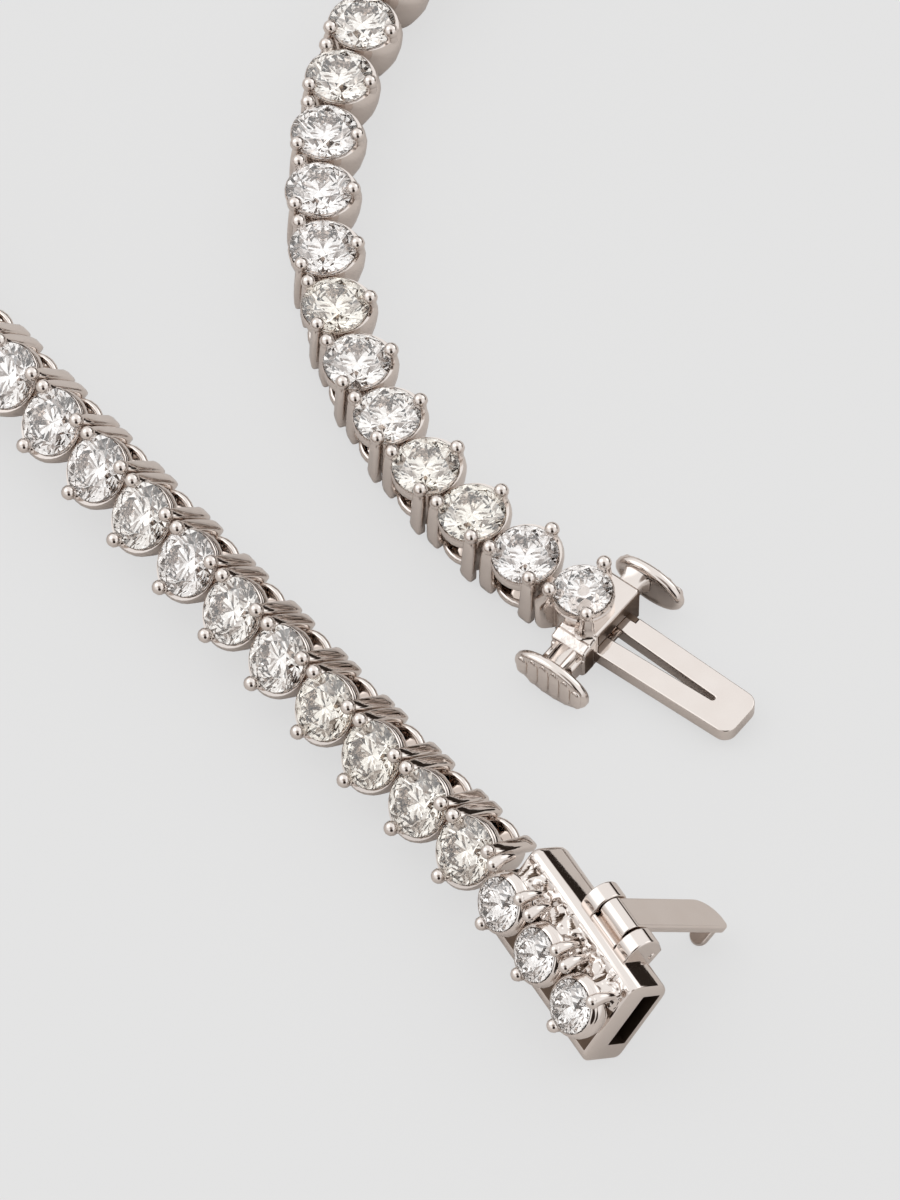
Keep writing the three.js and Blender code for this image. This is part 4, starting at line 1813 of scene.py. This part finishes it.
        # The plates beside the tongue on the near side, beside it on the far side, and over it.
        back, front = self.block_front - 0.1, self.block_front + 0.03
        split = self.root_half - 0.25
        form.block((back, -1.95, 0.12), (self.block_front + 0.05, -self.root_half - 0.03, 1.55), 0.04)
        form.block((back, split, 0.12), (front, self.block_half - 0.12, 2.02), 0.03)
        form.block((back, -1.0, 1.3), (front, split, 2.02), 0.03)
        return form

    def _saddle(self) -> Form:
        """The bar's stepped end, left as it was cast, down to the near button's shank.

        Returns:
            Its shape.
        """
        form = Form()
        near = -self.block_half
        # From the step down to the surface, with a round at each corner.
        outline = [
            (self.step_y + 0.1, 0.0),
            (self.step_y + 0.1, self.block_top - 0.12),
            *arc((self.step_y - 0.02, self.block_top - 0.3), 0.16, 80, 150, 4),
            *arc((-1.58, 1.72), 0.17, 60, 130, 4),
            *arc((-1.92, 1.56), 0.2, 90, 165, 5),
            *arc((near + 0.12, 1.12), 0.12, 100, 180, 4),
            *arc((near + 0.2, 0.2), 0.2, 180, 270, 4),
        ]
        form.plate([outline], self.block_back - 0.04, self.block_front + 0.03, 0.17, YZ_PLANE)
        form.block((-0.1, -self.saddle_reach, 0.2), (1.6, near + 0.3, 1.3), 0.24)
        return form

    def _cup(self) -> Form:
        """The round setting with its grooved rim and three prongs.

        Returns:
            Its shape.
        """
        form = Form()
        form.turn(self.cup, self.cup_sides)
        self._prong(form, 90, self.flared_prong)
        self._prong(form, -90 - self.pair_angle, self.broad_prong)
        self._prong(form, -90 + self.pair_angle, self.flared_prong)
        return form

    def _prong(self, form: Form, degrees: float, kind: Quad) -> None:
        """Add a prong of the setting, with its ball.

        Args:
            form: The setting's shape.
            degrees: The prong's direction, from +X.
            kind: Its depth for its width, shift outwards, foot's height and foot's half width.
        """
        turn = math.radians(degrees)
        direction = Vector((math.cos(turn), math.sin(turn), 0))
        across = Vector((-direction.y, direction.x, 0))
        deep, further, foot, flare = kind
        # Height, way out from the prongs' circle, half width, and depth for that width.
        stations = (
            (foot, further - 0.1, flare, deep),
            (foot + 0.14, further - 0.02, flare, deep),
            (foot + 0.3, further, 0.36, deep),
            (2.6, further + 0.03, 0.34, deep),
            (3.1, 0.02, 0.3, 0.8),
            (3.35, 0.0, 0.24, 0.8),
        )
        sections = [
            oval(
                direction * (self.prong_circle + out) + Vector((0, 0, h)),
                across * size,
                direction * size * depth,
                16,
                0.6,
            )
            for h, out, size, depth in stations
        ]
        form.loft(sections)
        top = direction * self.prong_circle + Vector((0, 0, self.ball_height))
        form.ball(top, self.ball, 20, 10)


@dataclass
class PushButton:
    """An oval push button with upright ribs on its face, on the side of +Y or -Y."""

    end: TongueEnd
    side: int
    body: Body
    centre: Point = (1.08, 1.25)  # X and Z
    size: Point = (4.05, 2.4)
    inner: float = 3.2
    face: float = 3.7
    ribs: int = 6
    rib_share: float = 0.9  # of the face's length, across all the ribs
    rib_reach: float = 0.17
    rib_margin: float = 0.17
    groove_depth: float = 0.22  # of the groove down each rib, as a share of its reach
    groove_width: float = 0.1  # as a share of the pitch
    shank_middle: Point = (0.8, 1.2)
    shank_half: Point = (0.56, 0.5)
    shank_start: float = 1.95
    shank_flare: float = 1.3  # how much wider it is where it meets the disc

    def name(self) -> str:
        """The button's name, after its side."""
        return "push_button_left" if self.side > 0 else "push_button_right"

    def build(self, polish: bpy.types.Material) -> None:
        """Make the button's disc and shank, and its ribs.

        Args:
            polish: Its finish.
        """
        frame = self.end.frame()
        form = Form()
        inner, face = self.inner, self.face
        # Place along the button's axis and how far the oval is drawn in.
        stations = (
            (inner + 0.12, 0.5), (inner + 0.02, 0.3), (inner, 0.22), (inner + 0.05, 0.08),
            (inner + 0.16, 0.0), (face - 0.16, 0.0), (face - 0.05, 0.06), (face, 0.18),
        )
        form.loft([self._oval(self.side * y, inset) for y, inset in stations])
        (x, z), (wide, high) = self.shank_middle, self.shank_half
        widths = ((self.shank_start, 1.0), (inner - 0.25, 1.0), (inner + 0.1, self.shank_flare))
        shank = []
        for y, size in widths:
            across, up = Vector((wide * size, 0, 0)), Vector((0, 0, high * size))
            shank.append(oval(Vector((x, self.side * y, z)), across, up, 16, 0.5))
        form.loft(shank)
        disc = form.cast(f"{self.name()}_disc", frame, polish, 50)
        present(disc, self.body, [self.name()])
        present(self._ribs(frame, polish), self.body)

    def _oval(self, y: float, inset: float) -> Section:
        """The disc's outline at a place along the button's axis.

        Args:
            y: The place.
            inset: How far the outline is drawn in.

        Returns:
            The outline.
        """
        x, z = self.centre
        across = Vector((self.size[0] / 2 - inset, 0, 0))
        return oval(Vector((x, y, z)), across, Vector((0, 0, self.size[1] / 2 - inset)), 40)

    def _ribs(self, frame: Matrix, polish: bpy.types.Material) -> bpy.types.Object:
        """Make the ribs, one rounded bar set out across the face and stretched to the oval.

        Args:
            frame: From the tongue end's millimetres to the part's metres.
            polish: The ribs' finish.

        Returns:
            All the ribs, as one piece.
        """
        pitch = self.size[0] * self.rib_share / self.ribs
        bar = Form()
        rows = 8
        across = Vector((pitch * 0.5, 0, 0))
        sections = []
        for i in range(rows + 1):
            height = -math.cos(math.pi * i / rows)
            share = math.sqrt(max(1 - abs(height) ** 4, 0.02))
            out = Vector((0, self.rib_reach * share, 0))
            section = []
            for point in oval(Vector((0, 0, height)), across, out, 20, 0.9):
                dip = math.exp(-((point.x / (self.groove_width * pitch)) ** 2))
                groove = 1 - self.groove_depth * dip
                section.append(Vector((point.x * share, point.y * groove, point.z)))
            sections.append(section)
        bar.loft(sections)
        pattern = bar.cast("rib_pattern", Matrix.Scale(MM, 4), None, 50)
        heading = math.radians(self.end.layout.tongue_heading)
        sunk = self.side * (self.face - 0.02)
        spots = []
        for i in range(self.ribs):
            offset = (i - (self.ribs - 1) / 2) * pitch
            half = self.size[1] / 2 * math.sqrt(1 - (2 * offset / self.size[0]) ** 2) - self.rib_margin
            place = frame @ Vector((self.centre[0] + offset, sunk, self.centre[1]))
            spots.append(Spot(place, heading, 0.0, Vector((1, 1, half))))
        ribs = SettingOut().copies(f"{self.name()}_ribs", pattern, polish, spots)
        bpy.data.objects.remove(pattern)
        return ribs


# ---- The studio ----------------------------------------------------------------------------------


@dataclass
class SoftBox:
    """A bright patch of the studio's sky, or a dark flag where its light is negative."""

    towards: Triple
    core: float  # degrees from its middle where it is full
    rim: float  # degrees where it has died out
    light: float


@dataclass
class Studio:
    """A pale table under a wide soft tent, with a dark room behind its lower edge."""

    layout: Layout
    table_colour: str = "#666666"
    table_glow: float = 0.637
    table_size: float = 8.0
    elevation: float = 57.0
    distance: float = 0.42
    frame_height: float = 12 / 220  # what the camera takes in from top to bottom at its aim, in metres
    under_colour: str = "#D5D0CC"
    room_colour: str = "#D9BFAE"
    tent_colour: str = "#FFFFFF"
    room_light: float = 0.04
    low_light: float = 0.85
    tent_light: float = 1.12
    tent_from: float = 5.0  # degrees above the table where the tent grows brighter
    tent_full: float = 30.0
    boxes: tuple[SoftBox, ...] = (
        SoftBox((-0.75, 0.25, 0.8), 14, 30, 0.7),
        SoftBox((0.8, 0.5, 0.7), 10, 24, 0.5),
        SoftBox((0.0, -0.5446, 0.8387), 10, 29, -0.75),
        SoftBox((0.1, -1.0, 0.4), 15, 25, -1.2),
        SoftBox((0.95, 0.3, 0.06), 11, 19, -1.1),
        SoftBox((0.7, 0.7, 0.06), 11, 19, -1.1),
        SoftBox((0.3, 0.95, 0.06), 11, 19, -1.1),
    )

    def build(self) -> None:
        """Make the table, the light and the camera."""
        self._table()
        self._tent()
        self._camera()
        bpy.context.scene.view_settings.view_transform = "Standard"
        cycles = bpy.context.scene.cycles
        cycles.max_bounces = 20
        cycles.glossy_bounces = 14
        cycles.transmission_bounces = 16

    def _table(self) -> None:
        """The table's lit top, and the darker sheet under it that the metal and the stones see."""
        top = self._sheet("table", -0.02, self.table_colour, self.table_glow)
        under = self._sheet("table_under", -0.03, self.under_colour, 0.0)
        for sheet, seen in ((top, True), (under, False)):
            sheet.visible_camera = seen
            sheet.visible_diffuse = sheet.visible_glossy = sheet.visible_transmission = not seen
            sheet.visible_shadow = not seen

    def _sheet(self, name: str, height: float, colour: str, glow: float) -> bpy.types.Object:
        """Lay a plain sheet.

        Args:
            name: The sheet's name.
            height: Its height in millimetres.
            colour: Its colour.
            glow: The light that comes through it from below.

        Returns:
            The sheet.
        """
        half = self.table_size / 2
        mesh = bpy.data.meshes.new(name)
        corners = [(-half, -half), (half, -half), (half, half), (-half, half)]
        mesh.from_pydata([(x, y, height * MM) for x, y in corners], [], [(0, 1, 2, 3)])
        material = new_material(name)
        values = {
            "Base Color": linear(colour),
            "Roughness": 0.9,
            "Specular IOR Level": 0.0,
            "Emission Color": (1, 1, 1, 1),
            "Emission Strength": glow,
        }
        surface(material.node_tree, values)
        mesh.materials.append(material)
        sheet = bpy.data.objects.new(name, mesh)
        bpy.context.scene.collection.objects.link(sheet)
        sheet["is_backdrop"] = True
        return sheet

    def _tent(self) -> None:
        """The light: brightness by height above the table, with soft boxes and flags in it."""
        world = bpy.data.worlds.new("studio")
        world.use_nodes = True
        tree = world.node_tree
        tree.nodes.clear()
        direction = add_node(tree, "ShaderNodeTexCoord").outputs["Generated"]
        height = add_node(tree, "ShaderNodeSeparateXYZ", links={"Vector": direction}).outputs["Z"]
        start, end = (math.sin(math.radians(a)) for a in (self.tent_from, self.tent_full))
        light = self._fade(tree, height, (start, end), (self.low_light, self.tent_light))
        for box in self.boxes:
            towards = Vector(box.towards).normalized()
            facing = add_node(
                tree,
                "ShaderNodeVectorMath",
                settings={"operation": "DOT_PRODUCT"},
                values={1: towards},
                links={0: direction},
            ).outputs["Value"]
            rim, core = (math.cos(math.radians(a)) for a in (box.rim, box.core))
            patch = self._fade(tree, facing, (rim, core), (0.0, box.light))
            light = add_node(
                tree, "ShaderNodeMath", settings={"operation": "ADD"}, links={0: light, 1: patch}
            ).outputs[0]
        least = add_node(
            tree,
            "ShaderNodeMath",
            settings={"operation": "MAXIMUM"},
            values={1: self.room_light},
            links={0: light},
        )
        colour = blend(tree, least.outputs[0], self.room_colour, self.tent_colour)
        background = add_node(
            tree, "ShaderNodeBackground", links={"Color": colour, "Strength": least.outputs[0]}
        )
        add_node(tree, "ShaderNodeOutputWorld", links={"Surface": background.outputs[0]})
        bpy.context.scene.world = world

    def _fade(
        self, tree: bpy.types.NodeTree, value: bpy.types.NodeSocket, span: Point, lights: Point
    ) -> bpy.types.NodeSocket:
        """Step smoothly from one light to another.

        Args:
            tree: The tree that it goes into.
            value: What the step goes by.
            span: Where it starts and ends.
            lights: The light before it and after it.

        Returns:
            The light.
        """
        step = add_node(
            tree,
            "ShaderNodeMapRange",
            settings={"interpolation_type": "SMOOTHSTEP"},
            values={
                "From Min": span[0],
                "From Max": span[1],
                "To Min": lights[0],
                "To Max": lights[1],
            },
            links={"Value": value},
        )
        return step.outputs["Result"]

    def _camera(self) -> None:
        """The camera, looking down at the open clasp."""
        camera = bpy.data.cameras.new("camera")
        camera.sensor_fit = "VERTICAL"
        camera.sensor_height = 36.0
        camera.lens = camera.sensor_height * self.distance / self.frame_height
        camera.clip_start = 0.01
        camera.clip_end = 50.0
        tilt = math.radians(self.elevation)
        aim = self.layout.to_part().translation
        shot = bpy.data.objects.new("camera", camera)
        shot.location = aim + self.distance * Vector((0, -math.cos(tilt), math.sin(tilt)))
        shot.rotation_euler = (math.pi / 2 - tilt, 0, 0)
        bpy.context.scene.collection.objects.link(shot)
        bpy.context.scene.camera = shot


# ---- The whole -----------------------------------------------------------------------------------


def corners() -> list[list[float]]:
    """The lowest and highest corner of what shows, as plain lists."""
    return [list(corner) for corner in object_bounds()]


def main() -> None:
    """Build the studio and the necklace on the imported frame."""
    logging.basicConfig(level=logging.INFO, format="%(name)s: %(message)s", force=True)
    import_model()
    layout = Layout()
    Studio(layout).build()
    polish, link_polish, cast, shade_paint = (f.material() for f in (MIRROR, LINK_POLISH, CAST, PAINTED_SHADE))
    diamond = DIAMOND.material()

    box = ClaspBox(layout)
    box.build(polish, cast, shade_paint, diamond)
    SafetyLatch(box).build(polish)
    end = TongueEnd(layout)
    end.build(polish, cast, shade_paint, diamond)
    far_button = PushButton(end, 1, Body.BUTTON_LEFT, (1.4, 1.22), (3.75, 2.35), inner=2.92, face=3.44)
    near_button = PushButton(end, -1, Body.BUTTON_RIGHT, inner=3.4, face=3.92)
    for button in (far_button, near_button):
        button.build(polish)
    Chain(layout).build(link_polish, diamond)


if __name__ == "__main__":
    main()
